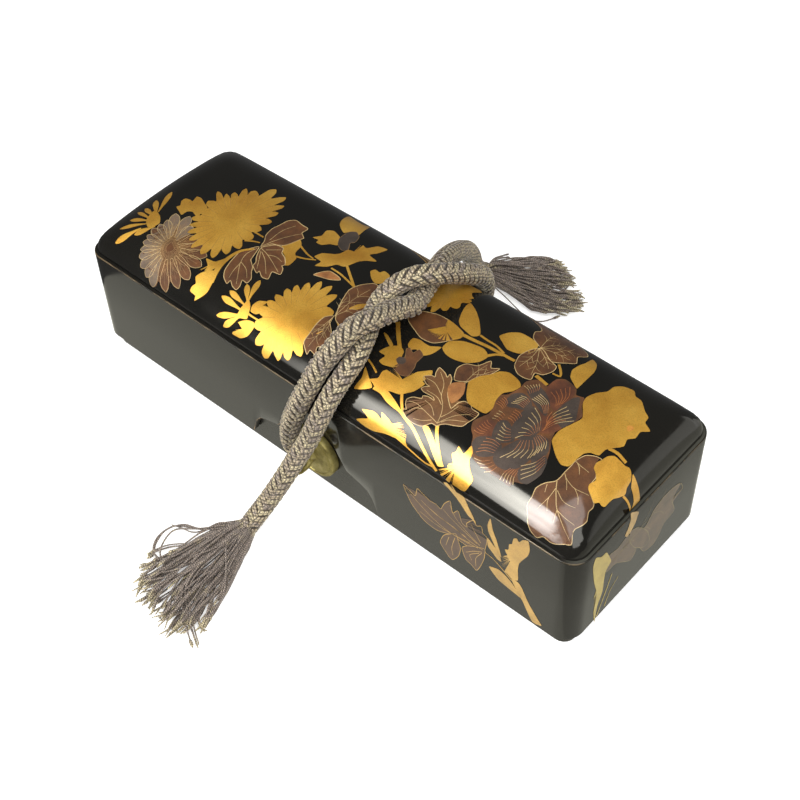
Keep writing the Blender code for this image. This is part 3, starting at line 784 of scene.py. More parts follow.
def lidRings():
    # from the middle of the crown outwards, down the skirt, and up inside to the middle of the roof
    shape = lidShape
    outerSteps = [shape["crownDepth"] * (step / 40) ** 2.2 for step in range(41)]
    innerSteps = [shape["crownDepth"] * (step / 12) ** 2.0 for step in range(13)]
    roof = shape["ledge"] - shape["roofWall"]
    rings = list(reversed(crownRings(shape["ledgeWidth"], shape["ledge"], shape["shoulder"], outerSteps)))
    for turn in (0.0, 22.5, 45.0, 67.5, 90.0):
        bend = math.radians(turn)
        rings.append(levelRing(shape["round"] * (1 - math.sin(bend)),
                               shape["ledge"] - shape["round"] * (1 - math.cos(bend))))
    rings.append(levelRing(0.0, 0.5 * shape["ledge"]))
    rings.append(levelRing(0.0, shape["skirtBottom"]))
    rings.append(levelRing(shape["skirtWall"], shape["skirtBottom"]))
    rings.append(levelRing(shape["skirtWall"], roof))
    return rings + crownRings(shape["roofInset"], roof, shape["innerShoulder"], innerSteps)


def cutLid():
    solid = bpy.data.objects.new("lidSolid", toMesh("lidSolid", skinRings(lidRings())))
    scene.collection.objects.link(solid)
    cutter = makeCutter()
    cut = solid.modifiers.new("cutOuts", "BOOLEAN")
    cut.operation, cut.solver, cut.object = "DIFFERENCE", "EXACT", cutter
    mesh = bpy.data.meshes.new_from_object(solid.evaluated_get(bpy.context.evaluated_depsgraph_get()))
    for spare in (solid, cutter):
        bpy.data.objects.remove(spare, do_unlink=True)
    shell = bmesh.new()
    shell.from_mesh(mesh)
    bmesh.ops.remove_doubles(shell, verts=shell.verts, dist=1e-6)
    return shell


def roundRims(shell):
    # the cut-outs' edges on the outer faces, but not along the skirt's bottom
    outerFace = lidShape["width"] / 2
    rim = []
    for edge in shell.edges:
        onFace = all(abs(abs(vert.co.y) - outerFace) < 1e-5 and abs(vert.co.x) < lidShape["cutReach"]
                     for vert in edge.verts)
        raised = max(vert.co.z for vert in edge.verts) > lidShape["skirtBottom"] + 0.0004
        if onFace and edge.is_manifold and edge.calc_face_angle() > 0.9 and raised:
            rim.append(edge)
    rounded = bmesh.ops.bevel(shell, geom=rim, offset=lidShape["rimRound"], segments=2, affect="EDGES",
                              profile=0.5, material=-1)
    for face in rounded["faces"]:
        face.material_index = lidSlots["wornRim"]


def pickFinishes(shell):
    # rubbed edges along the ledge, the flat ledge, and the cut-outs' thickness
    ledge, corner = lidShape["ledge"], lidShape["round"]
    outerFace, outerEnd = lidShape["width"] / 2, lidShape["length"] / 2
    for face in shell.faces:
        centre, normal = face.calc_center_median(), face.normal
        rounding = ledge - 0.85 * corner < centre.z < ledge - 0.10 * corner and abs(normal.z) > 0.05
        if rounding and (abs(centre.y) > outerFace - corner - 1e-5
                         or abs(centre.x) > outerEnd - lidShape["wornEnd"]):
            face.material_index = lidSlots["wornEdge"]
        if abs(centre.z - ledge) < 1e-5 and normal.z > 0.9:
            face.material_index = lidSlots["dullLedge"]
        inCut = (abs(centre.x) < lidShape["cutReach"]
                 and outerFace - lidShape["skirtWall"] < abs(centre.y) < outerFace - 0.0004)
        if inCut and abs(normal.y) < 0.5 and centre.z < ledge - 0.004:
            face.material_index = lidSlots["dullRim"]


def makeLid():
    shell = cutLid()
    roundRims(shell)
    pickFinishes(shell)
    finished = bpy.data.meshes.new("lid")
    shell.to_mesh(finished)
    shell.free()
    piece = addPiece("lacquerLid", finished, [blackLacquer, wornEdge, dullLedge, dullRim, wornRim],
                     34)
    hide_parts("lid")


makeLid()
print("lid made")

# the crown's own sections, measured along the surface, to lay flat points on it
crownHalf = (lidShape["length"] / 2 - lidShape["ledgeWidth"], lidShape["width"] / 2 - lidShape["ledgeWidth"])
crownFoot = lidShape["corner"] - lidShape["ledgeWidth"]


def crownZ(x, y):
    return lidShape["ledge"] + crownHeight(x, y, *crownHalf, crownFoot, lidShape["shoulder"])


def sectionTable(axis):
    bend = np.linspace(0.0, math.pi / 2, 400)
    inward = np.concatenate([lidShape["shoulder"] * (1 - np.cos(bend)),
                             np.linspace(lidShape["shoulder"], crownHalf[axis], 400)[1:]])
    place = (crownHalf[axis] - inward)[::-1]
    z = crownZ(place, 0.0 * place) if axis == 0 else crownZ(0.0 * place, place)
    z[-1] = lidShape["ledge"]
    return place, np.concatenate([[0.0], np.cumsum(np.hypot(np.diff(place), np.diff(z)))]) * millimetres


crownTables = (sectionTable(0), sectionTable(1))

# the picture's points are pixels given in the photo or in an enlarged window of it,
# and the camera's rays carry them to the lid
photoWidth = 800.0
windows = {  # left and top edge in the photo, and times enlarged
    "photo": (0, 0, 1.0),
    "left": (100, 180, 7.127),
    "middle": (300, 200, 6.03),
    "right": (400, 330, 6.03),
}
# a ray is followed from above the ledge to below it, and ends where it all but touches the lid
raySearch = {"above": 0.0731, "below": 0.0469, "steps": 4000, "touch": 0.00008}
wallFaces = {"front": (1, -lidShape["width"] / 2), "end": (0, lidShape["length"] / 2)}  # axis, place


def rayThrough(window, point):
    left, top, enlarged = windows[window]
    lensPixels = shot["lens"] / shot["sensor"] * photoWidth
    across = (left + point[0] / enlarged - photoWidth / 2) / lensPixels
    down = (top + point[1] / enlarged - photoWidth / 2) / lensPixels
    way = across * np.array(shot["right"]) + down * np.array(shot["down"]) + np.array(shot["forward"])
    return way / np.linalg.norm(way)


def spotOnCrown(window, point):
    # in mm on the crown as if unrolled flat, x along and y across
    place, way = np.array(shot["place"]), rayThrough(window, point)
    top, foot = lidShape["ledge"] + raySearch["above"], lidShape["ledge"] - raySearch["below"]
    reach = np.linspace((top - place[2]) / way[2], (foot - place[2]) / way[2], raySearch["steps"])
    x, y, z = (place + reach[:, None] * way).T
    halfX, halfY, touch = lidShape["length"] / 2, lidShape["width"] / 2, raySearch["touch"]
    overLid = (np.abs(x) < halfX + touch) & (np.abs(y) < halfY + touch)
    surface = np.where(overLid, crownZ(np.clip(x, -halfX, halfX), np.clip(y, -halfY, halfY)), foot)
    met = np.argmax(z <= surface + touch)
    return tuple(round(float(np.sign(value) * np.interp(abs(value), *table)), 1)
                 for value, table in zip((x[met], y[met]), crownTables))


def spotsOnCrown(window, points):
    return [spotOnCrown(window, point) for point in points]


def spotOnWall(side, point):
    # in mm, along the wall and up
    axis, face = wallFaces[side]
    place, way = np.array(shot["place"]), rayThrough("photo", point)
    met = place + (face - place[axis]) / way[axis] * way
    return tuple(round(float(met[k]) * millimetres, 1) for k in (1 - axis, 2))


def spotsOnWall(side, points):
    return [spotOnWall(side, point) for point in points]


# the gold and brown picture, in which every higher layer lies over the lower ones
# finish, layer, line round the edge, window, outline
areas = [
    ("gold", 1, "", "left", [(365, 235), (400, 215), (428, 262), (425, 305), (385, 330), (340, 335),
     (330, 285)]),
    ("gold", 2, "", "left", [(545, 192), (572, 180), (580, 150), (610, 132), (640, 140), (662, 150),
     (690, 120), (722, 130), (745, 165), (765, 200), (720, 240), (690, 262), (660, 228), (620, 226),
     (582, 248), (562, 222)]),
    ("gold", 1, "", "left", [(1290, 480), (1340, 440), (1425, 425), (1435, 470), (1392, 520),
     (1398, 560), (1345, 608), (1300, 600), (1320, 550)]),
    ("brown", 2, "gold", "photo", [(261, 247), (264.5, 241), (266, 235), (272, 229), (280, 225),
     (288, 221), (296, 220.5), (302, 225), (308, 229), (302, 233), (303.8, 238), (299, 240),
     (292, 243), (284, 245.5), (274, 245)]),
    ("brown", 2.5, "gold", "photo", [(261, 248), (256.5, 257), (256, 262), (253, 266), (256.5, 273),
     (259.5, 271), (262, 277), (268, 279), (272, 272), (280, 274.5), (283, 269), (282, 266),
     (285, 264.5), (285, 258), (282, 253), (283, 248), (272, 244)]),
    ("brown", 3, "gold", "photo", [(259, 247), (250, 248.5), (240, 252), (231, 261), (225, 270),
     (223.8, 277), (227, 283.5), (230.5, 280.5), (232.5, 286), (236.3, 289.5), (240, 286),
     (242.5, 280), (247, 283), (251, 279), (251.5, 272), (252.5, 267), (251, 260), (253, 256.5)]),
    ("gold", 4, "", "left", [(830, 680), (800, 742), (765, 802), (720, 836), (675, 860), (682, 825),
     (646, 792), (656, 758), (684, 735), (682, 690), (722, 662), (780, 642), (818, 650)]),
    ("gold", 4, "", "left", [(712, 642), (768, 618), (758, 560), (822, 582), (905, 556), (862, 606),
     (790, 645)]),
    ("gold", 1, "", "left", [(1060, 850), (1072, 900), (1062, 945), (1045, 990), (1000, 985),
     (960, 990), (985, 945), (1000, 915), (1030, 880)]),
    ("gold", 1, "", "left", [(1075, 935), (1088, 892), (1130, 862), (1192, 868), (1188, 912),
     (1160, 895), (1150, 940), (1112, 957)]),
    ("gold", 1, "", "left", [(988, 1012), (1050, 998), (1097, 1015), (1092, 1060), (1050, 1112),
     (1000, 1128), (945, 1095), (960, 1068), (1012, 1062)]),
    ("gold", 1, "", "middle", [(240, 150), (255, 118), (300, 100), (342, 128), (380, 150), (422, 165),
     (362, 207), (340, 202), (300, 192), (262, 197)]),
    ("gold", 1, "", "middle", [(78, 225), (130, 215), (160, 185), (202, 186), (222, 202), (242, 228),
     (228, 272), (180, 266), (130, 271), (98, 255), (110, 240)]),
    ("gold", 1, "", "middle", [(88, 340), (140, 320), (200, 326), (242, 322), (290, 300), (332, 310),
     (372, 268), (402, 290), (470, 280), (528, 300), (470, 322), (420, 332), (462, 370), (400, 366),
     (350, 372), (292, 395), (262, 402), (220, 390), (160, 402), (90, 396), (126, 372)]),
    ("greyBrown", 2, "fine", "middle", [(238, 232), (265, 210), (300, 192), (342, 194), (357, 225),
     (332, 255), (302, 262), (290, 300), (250, 302), (228, 270)]),
    ("orange", 1, "gold", "middle", [(82, 450), (130, 434), (180, 430), (230, 460), (242, 482),
     (180, 480), (128, 465)]),
    ("gold", 1, "", "middle", [(425, 430), (455, 420), (480, 436), (512, 430), (542, 460), (500, 502),
     (455, 502), (430, 472)]),
    ("brown", 3, "gold", "middle", [(232, 650), (262, 590), (300, 540), (362, 514), (442, 504),
     (472, 522), (440, 562), (402, 620), (382, 680), (340, 704), (280, 730), (250, 760), (215, 720)]),
    ("brown", 3, "gold", "middle", [(205, 700), (150, 705), (105, 742), (62, 800), (24, 852),
     (30, 892), (42, 930), (62, 905), (92, 930), (104, 888), (142, 880), (182, 850), (188, 790),
     (180, 730)]),
    ("gold", 4, "", "middle", [(296, 655), (350, 630), (410, 628), (380, 650), (340, 662)]),
    ("brown", 2, "gold", "middle", [(652, 722), (680, 682), (740, 672), (830, 690), (890, 720),
     (942, 760), (984, 802), (960, 832), (880, 852), (800, 862), (730, 832), (690, 782)]),
    ("gold", 3, "", "middle", [(770, 782), (828, 806), (884, 800), (878, 756), (896, 722), (945, 758),
     (990, 808), (962, 836), (880, 848), (812, 826)]),
    ("gold", 2, "", "middle", [(958, 730), (975, 680), (1000, 640), (1030, 622), (1062, 670),
     (1082, 732), (1086, 812), (1040, 822), (1000, 792), (968, 762)]),
    ("gold", 2, "", "middle", [(858, 890), (900, 852), (980, 850), (1060, 875), (1112, 900),
     (1134, 945), (1080, 976), (1000, 982), (930, 962), (880, 932)]),
    ("gold", 2, "", "middle", [(652, 870), (680, 834), (722, 842), (780, 880), (852, 888), (800, 926),
     (742, 938), (702, 902), (664, 902)]),
    ("gold", 2, "", "middle", [(478, 912), (540, 882), (602, 880), (626, 912), (612, 950), (600, 1000),
     (560, 1008), (500, 992), (478, 968), (512, 940)]),
    ("brown", 3, "fine", "middle", [(580, 962), (600, 945), (632, 950), (642, 900), (662, 892),
     (682, 922), (720, 902), (742, 940), (702, 980), (690, 1012), (650, 1062), (600, 1052),
     (560, 1008), (592, 1000)]),
    ("greyBrown", 4, "", "middle", [(585, 962), (605, 948), (632, 952), (640, 975), (618, 990),
     (592, 985)]),
    ("gold", 2, "", "middle", [(422, 1080), (470, 1072), (502, 1030), (572, 1020), (612, 1082),
     (652, 1062), (690, 1040), (742, 1032), (797, 1028), (790, 1062), (742, 1092), (752, 1112),
     (690, 1152), (640, 1166), (600, 1172), (540, 1152), (470, 1152), (442, 1110)]),
    ("gold", 2, "", "middle", [(505, 800), (530, 815), (562, 872), (550, 892), (528, 860)]),
    ("gold", 2, "", "middle", [(395, 1005), (412, 1060), (432, 1132), (328, 1136), (372, 1070)]),
    ("brown", 2, "gold", "right", [(845, 105), (805, 50), (815, 12), (850, -12), (930, -5), (1010, 50),
     (1080, 100), (1132, 160), (1072, 164), (1062, 202), (1000, 200), (940, 197), (900, 182)]),
    ("brown", 3, "gold", "right", [(690, 215), (720, 155), (780, 122), (842, 110), (872, 130),
     (902, 180), (942, 222), (922, 250), (862, 270), (812, 260), (790, 297), (750, 290), (708, 262)]),
    ("gold", 3, "", "middle", [(1203, 820), (1262, 800), (1332, 802), (1402, 840), (1437, 880),
     (1400, 916), (1320, 926), (1250, 902), (1222, 860)]),
    ("tan", 3, "gold", "photo", [(436.4, 425.9), (431.4, 423.2), (422.3, 426.2), (414.5, 423.6),
     (409.5, 420.5), (405.9, 416.4), (402.3, 409.1), (406.4, 409.1), (405.5, 404.5), (406.8, 399.1),
     (413.2, 397.1), (421.4, 398.6), (423.2, 395.9), (428.6, 396.8), (434.1, 400.5), (433.2, 397.3),
     (427.7, 394.1), (423.2, 391.4), (421.4, 388.2), (425.5, 386.4), (429.5, 386.4), (425.9, 383.6),
     (423.6, 376.4), (431.4, 375.5), (435, 376.8), (435.9, 372.7), (439.5, 367.6), (445, 372.7),
     (447.5, 377.3), (450, 374.5), (451.8, 379.1), (449.5, 386.4), (447.7, 393.6), (448.6, 400.9),
     (450.9, 408.2), (455, 405.5), (458.6, 402.7), (464.1, 401.4), (470.5, 404.5), (472.3, 409.1),
     (478.6, 413.6), (475, 418.2), (467.7, 422.7), (462.3, 426.2), (454.1, 425.5), (445.9, 424.1),
     (440.5, 424.5)]),
    ("brown", 2, "gold", "right", [(328, 300), (345, 230), (400, 205), (470, 215), (548, 188),
     (550, 230), (602, 235), (540, 272), (470, 290), (400, 312)]),
    ("orange", 4, "", "right", [(290, 342), (322, 318), (392, 320), (386, 382), (352, 420), (312, 442),
     (290, 400)]),
    ("gold", 4, "", "right", [(408, 330), (420, 308), (480, 280), (542, 270), (602, 250), (662, 260),
     (717, 305), (727, 342), (680, 370), (620, 382), (580, 422), (560, 472), (520, 502), (480, 490),
     (412, 442), (400, 390)]),
    ("gold", 2, "", "photo", [(362, 409), (372, 410.5), (377, 413.5), (381.5, 419), (381.7, 412),
     (388, 417.8), (392.5, 424.5), (396.7, 433), (397, 427), (400.5, 422.5), (404.5, 426.7),
     (406.3, 435.5), (405.7, 442), (408, 448), (402, 443.3), (395.5, 438), (384.5, 433.5),
     (373.5, 430.7), (365.5, 426.9), (360, 422.4), (356.5, 419), (362, 418), (367.8, 418.3),
     (366, 414.4)]),
    ("gold", 2, "", "photo", [(422.6, 427), (427.9, 426), (431.2, 432), (434.5, 440), (440.2, 452.2),
     (442.4, 462.2), (443.5, 466.5), (437.9, 466), (434.2, 457.8), (428.7, 442.2)]),
    ("gold", 2, "", "photo", [(382.6, 391.5), (387.8, 391), (392.3, 396.7), (396.8, 403.3),
     (400.8, 410), (395.5, 408.3), (391, 402.2), (386.5, 398.9)]),
    ("gold", 3, "", "photo", [(438.3, 469.2), (446.5, 469.5), (448.3, 463.9), (455, 472.2),
     (452.2, 457.8), (452.4, 453.3), (456.1, 451.1), (458.9, 446.2), (463.3, 453.3), (466.7, 451.1),
     (471.7, 445.7), (472.8, 453.3), (469.6, 460), (470.7, 472.2), (473, 477.8), (472.2, 482.2),
     (465.5, 491), (461.1, 490), (451.1, 484.4), (441.1, 475)]),
    ("brown", 2, "", "right", [(445, 545), (500, 520), (540, 500), (560, 440), (592, 392), (652, 388),
     (722, 350), (762, 310), (832, 300), (892, 340), (942, 298), (1002, 300), (1062, 350), (1064, 392),
     (1112, 412), (1096, 462), (1100, 522), (1042, 562), (962, 572), (932, 622), (915, 662),
     (902, 742), (880, 802), (832, 852), (790, 902), (742, 927), (690, 917), (660, 942), (602, 902),
     (540, 862), (482, 822), (440, 772), (430, 702), (440, 642), (430, 592)]),
    ("rust", 3, "", "photo", [(548, 386), (556, 380), (566, 382), (575, 391), (572, 398), (564, 404),
     (556, 411), (549, 404), (546, 394)]),
    ("greyBrown", 3.2, "", "photo", [(564, 404), (573, 398), (580, 398), (578, 410), (575, 421),
     (562, 428), (556, 420), (557, 411)]),
    ("greyBrown", 3.4, "", "photo", [(527, 391), (538, 386), (546, 393), (550, 404), (546, 416),
     (540, 411), (533, 402)]),
    ("rust", 3.1, "", "photo", [(541, 412), (549, 416), (556, 420), (562, 428), (552, 433), (541, 433),
     (537, 424)]),
    ("greyBrown", 3.6, "", "photo", [(505, 401), (513, 394), (523, 393), (531, 400), (532, 407),
     (524, 410), (515, 408), (508, 407)]),
    ("greyBrown", 3.8, "", "photo", [(512, 427), (520, 414), (530, 406), (537, 409), (541, 418),
     (541, 430), (533, 437), (520, 439), (512, 436)]),
    ("rust", 3.3, "", "photo", [(474, 428), (484, 420), (493, 421), (500, 430), (492, 436),
     (480, 436)]),
    ("greyBrown", 3.7, "", "photo", [(492, 440), (493, 430), (499, 421), (508, 421), (514, 432),
     (514, 441), (503, 443)]),
    ("greyBrown", 3.5, "", "photo", [(472, 444), (477, 437), (488, 436), (498, 440), (502, 447),
     (497, 455), (485, 457), (476, 455)]),
    ("greyBrown", 4, "", "photo", [(493, 457), (503, 448), (518, 440), (532, 438), (535, 450),
     (530, 460), (519, 468), (505, 470), (496, 465)]),
    ("greyBrown", 4.2, "", "photo", [(531, 438), (540, 435), (548, 440), (549, 450), (543, 459),
     (533, 464), (530, 455)]),
    ("greyBrown", 3.9, "", "photo", [(518, 470), (530, 463), (545, 457), (547, 463), (541, 475),
     (528, 484), (519, 481)]),
    ("gold", 6, "", "right", [(918, 662), (960, 608), (1040, 566), (1100, 530), (1102, 450),
     (1122, 408), (1180, 382), (1250, 372), (1290, 345), (1350, 343), (1410, 368), (1422, 402),
     (1457, 430), (1477, 490), (1497, 530), (1480, 562), (1507, 612), (1450, 616), (1420, 652),
     (1370, 662), (1350, 702), (1300, 712), (1240, 722), (1200, 757), (1150, 742), (1110, 747),
     (1070, 777), (1020, 822), (970, 812), (940, 762), (924, 710)]),
    ("rustSpot", 7, "", "right", [(1365, 590), (1385, 575), (1410, 588), (1400, 605), (1378, 612)]),
    ("gold", 2, "", "right", [(1028, 282), (1040, 240), (1080, 215), (1120, 200), (1162, 180),
     (1187, 210), (1172, 252), (1122, 302), (1082, 342), (1065, 352), (1040, 312)]),
    ("brown", 3, "gold", "photo", [(576, 460.5), (585.5, 455.5), (595.5, 456.5), (602, 460),
     (596, 464), (596, 476.7), (592.2, 482.2), (588.6, 488), (592.5, 500.5), (593.9, 504),
     (592.6, 508), (588.3, 512.2), (586.7, 521), (582, 525.5), (575.5, 529), (572.8, 533.5),
     (571.4, 544.4), (565.5, 544), (555.5, 544), (550, 541.7), (543.3, 536.5), (536.7, 537.2),
     (531, 531), (527.8, 522.2), (527.6, 513.3), (527.4, 504.4), (532.2, 496.5), (536.2, 487.8),
     (545.5, 482.8), (555.5, 481), (561, 476.7), (565, 472), (571, 466)]),
    ("gold", 4, "", "photo", [(601.7, 460), (607.8, 456.5), (614.4, 456), (620, 460.5), (624.4, 465.3),
     (629.4, 468.2), (631.2, 473.3), (630.6, 481), (626.7, 487.8), (625, 494.4), (619, 497.2),
     (613.3, 498.9), (609, 502.2), (604.4, 506.8), (601.1, 505.7), (598.9, 502.8), (594, 502.8),
     (591, 496.7), (588.3, 489), (589.4, 484.2), (595.5, 480.5), (595.9, 474.4), (593.9, 467.8),
     (596.7, 462.8)]),
    ("gold", 3, "", "photo", [(632.8, 474), (636.2, 481), (638.9, 491), (638.9, 502.2), (638, 512.5),
     (632.4, 513), (633.2, 502.2), (632.6, 493.3), (631, 487.8), (631.6, 481)]),
]
# finish, layer, rings of small petals, window, middle, petal tips
blossoms = [
    ("brown", 1, 3, "left", (500, 478), [(480, 285), (425, 315), (372, 345), (335, 395), (308, 440),
     (290, 495), (280, 550), (290, 620), (330, 690), (375, 762), (470, 798), (560, 772), (637, 708),
     (722, 615), (760, 545), (740, 480), (700, 410), (660, 330), (640, 260), (540, 240)]),
    ("gold", 3, 0, "left", (930, 300), [(1325, 125), (1312, 185), (1272, 235), (1225, 298),
     (1152, 358), (1084, 425), (992, 492), (900, 530), (800, 555), (720, 530), (650, 482), (635, 430),
     (622, 375), (640, 320), (655, 270), (700, 205), (770, 150), (840, 82), (900, 98), (962, 88),
     (1042, 62), (1112, 78), (1255, 68)]),
    ("gold", 2, 0, "photo", (291, 318), [(337, 295), (332, 286), (321.5, 281.5), (309, 282.5),
     (297, 285), (287, 288.5), (276, 294.5), (267.5, 301), (259, 309), (254, 326), (255.7, 344.5),
     (264.5, 358), (278, 361), (288, 360.5), (301, 356.5), (312, 346), (324, 330), (334, 312)]),
    ("gold", 1, 0, "middle", (915, 570), [(1085, 545), (1050, 592), (1035, 612), (945, 655),
     (865, 668), (790, 675), (752, 640), (745, 590), (790, 530), (860, 490), (940, 475), (1020, 485),
     (1075, 510)]),
]
# finish, layer, half width in mm, window, base, tip
petals = [
    ("gold", 1, 1.25, "left", (418, 225), (512, 85)),
    ("gold", 1, 1.3, "left", (400, 250), (400, 145)),
    ("gold", 1, 1.1, "left", (385, 262), (322, 205)),
    ("gold", 1, 0.9, "left", (365, 280), (270, 232)),
    ("gold", 1, 1, "left", (360, 290), (215, 288)),
    ("gold", 1, 0.9, "left", (350, 310), (140, 350)),
    ("gold", 1, 1.5, "left", (290, 345), (110, 452)),
    ("gold", 1, 1.3, "left", (390, 330), (245, 392)),
    ("gold", 1, 1.3, "left", (1055, 865), (1142, 715)),
    ("gold", 1, 1.2, "left", (1050, 870), (1050, 742)),
    ("gold", 1, 1.2, "left", (1030, 890), (925, 788)),
    ("gold", 1, 1.3, "left", (1010, 930), (868, 825)),
    ("gold", 1, 1.3, "left", (1020, 962), (830, 962)),
    ("gold", 1, 1.4, "left", (1010, 965), (880, 1045)),
]
# finish, layer, width in mm at the first and at the last point, window, lines
stems = [
    ("fineGold", 4, 0.22, 0.12, "photo", [
        [(262, 246), (274, 241), (287, 237), (301, 234)],
        [(270, 240), (282, 231), (296, 226)],
        [(257, 248.5), (246.5, 254), (240.5, 263), (238, 274), (236.5, 284)],
        [(240.5, 263), (234, 270), (229, 278)],
        [(241, 262), (246, 269), (247, 278)],
        [(261, 248), (267, 254), (273, 263), (278, 272)],
        [(262, 252), (265, 260), (266, 274)],
        [(261, 251), (259, 260), (257, 269)],
        [(268, 255), (276, 257), (282, 262)],
        [(266, 250), (275, 250), (281, 250)],
    ]),
    ("gold", 4, 2.6, 0.9, "left", [[(790, 730), (820, 665), (862, 605), (920, 552), (1000, 508),
     (1100, 490)]]),
    ("gold", 1, 0.9, 0.7, "left", [[(1060, 345), (1110, 375), (1165, 408)]]),
    ("gold", 1, 0.9, 0.6, "left", [
        [(1030, 432), (1090, 436), (1140, 446)],
        [(1430, 470), (1480, 530), (1520, 560)],
        [(1395, 545), (1460, 560), (1540, 570)],
    ]),
    ("gold", 1, 0.8, 0.6, "left", [[(1060, 955), (1090, 975), (1130, 1000)]]),
    ("gold", 1, 1.1, 1.1, "middle", [[(280, 390), (300, 450), (326, 525)]]),
    ("gold", 1, 0.8, 0.8, "middle", [[(188, 410), (250, 452), (330, 527)]]),
    ("gold", 1, 1.4, 1.2, "middle", [[(222, 705), (250, 790), (262, 830)]]),
    ("gold", 2, 1.5, 1.3, "middle", [[(985, 815), (1060, 850), (1130, 882), (1210, 925),
     (1295, 970)]]),
    ("gold", 2, 0.9, 0.9, "middle", [[(1086, 815), (1130, 845), (1185, 880), (1230, 925)]]),
    ("gold", 2, 1.4, 0.9, "middle", [[(1125, 940), (1180, 932), (1230, 938)]]),
    ("gold", 2, 1.1, 1.1, "right", [[(12, 385), (10, 430), (14, 485)]]),
    ("gold", 2, 1.7, 1.5, "middle", [[(590, 735), (594, 820), (602, 892)]]),
    ("gold", 2, 0.7, 0.7, "middle", [[(412, 960), (440, 1000), (460, 1042)]]),
    ("fineGold", 4, 0.24, 0.13, "photo", [
        [(437.3, 423.6), (441.4, 413.6), (442.7, 404.5), (441.4, 395.5), (444.1, 383.6), (440.5, 372)],
        [(437, 423), (431.4, 417.3), (423.2, 409.1), (416.8, 403.6), (409.5, 400.9)],
        [(434.1, 415.5), (431.4, 406.4), (425, 400)],
        [(431.4, 420), (422.3, 420.5), (413.2, 418.6)],
        [(438, 423), (445.9, 419.1), (456.8, 415.5), (470.5, 414.5)],
        [(441, 417), (449.5, 412.7), (458.6, 406.4)],
        [(441, 422), (449.5, 420), (465.9, 421.8)],
        [(441.5, 405), (437, 397), (426.8, 390)],
        [(441.4, 395), (435, 383.6), (426.8, 378.2)],
        [(423, 409), (415, 408), (408, 412)],
    ]),
    ("gold", 2, 1, 1.35, "photo", [[(373.3, 387.8), (381, 392.2), (387.8, 401), (394.4, 406.7),
     (400.5, 411.5), (406.7, 420), (413.3, 429), (420, 442.2), (426.7, 455.5), (432.2, 464.4),
     (436.5, 471)]]),
    ("gold", 2, 1.3, 1.1, "photo", [[(437.4, 426), (436.9, 435.5), (438, 446.7), (440.2, 458)]]),
    ("gold", 2, 0.65, 0.75, "photo", [[(406.7, 446.7), (415.5, 454.4), (425.5, 462.8), (432.2, 466.1),
     (437, 470)]]),
    ("gold", 2, 1.5, 1.3, "right", [[(820, 275), (855, 305), (888, 332)]]),
    ("gold", 2, 1, 0.8, "right", [[(958, 208), (968, 245), (965, 280), (920, 262)]]),
    ("fineGold", 4.5, 0.3, 0.12, "photo", [[(557.2, 481.1), (556.1, 489), (556.1, 498), (557, 509),
     (563.3, 526.7), (569.5, 541)]]),
    ("fineGold", 4.5, 0.22, 0.12, "photo", [
        [(556.1, 487.8), (548.9, 497.2), (537.2, 508.9)],
        [(548.9, 497.2), (547.4, 502.2), (547.2, 511.1)],
        [(557.3, 490.5), (562.3, 500.5), (568.9, 505.5), (575.5, 507.8)],
        [(565, 473.3), (566.6, 478.9), (574.4, 488.3), (588.9, 495.5)],
        [(574.6, 488.5), (577.8, 496.7), (577.8, 504.4)],
        [(565.8, 477.8), (566.8, 483.3), (566.4, 490)],
        [(575.5, 461.1), (580, 465.5), (588.9, 472.8)],
        [(577.6, 463.3), (579.2, 468), (579.4, 474.4)],
        [(547.2, 484.4), (545, 492.2)],
        [(557.2, 509.5), (553.3, 522.2)],
        [(557.8, 511.1), (565, 518), (574.4, 525.5)],
    ]),
    ("gold", 2, 1.3, 1.3, "right", [[(1258, 715), (1310, 742), (1340, 775), (1362, 802)]]),
    ("gold", 3, 1, 0.9, "photo", [[(622.8, 496), (627.8, 502.2), (630, 512.2), (631, 517)]]),
]
# finish, layer, window, joint, vein tips
leafVeins = [
    ("fineGold", 4, "middle", (208, 700), [(440, 530), (380, 640), (290, 580)]),
    ("fineGold", 4, "middle", (200, 708), [(40, 900), (110, 860), (60, 820)]),
    ("fineGold", 3, "right", (848, 108), [(1110, 158), (1040, 190), (948, 38), (1010, 100)]),
    ("fineGold", 4, "right", (842, 112), [(785, 285), (710, 230), (900, 245), (760, 150)]),
    ("fineGold", 3, "right", (380, 330), [(540, 200), (590, 238)]),
]
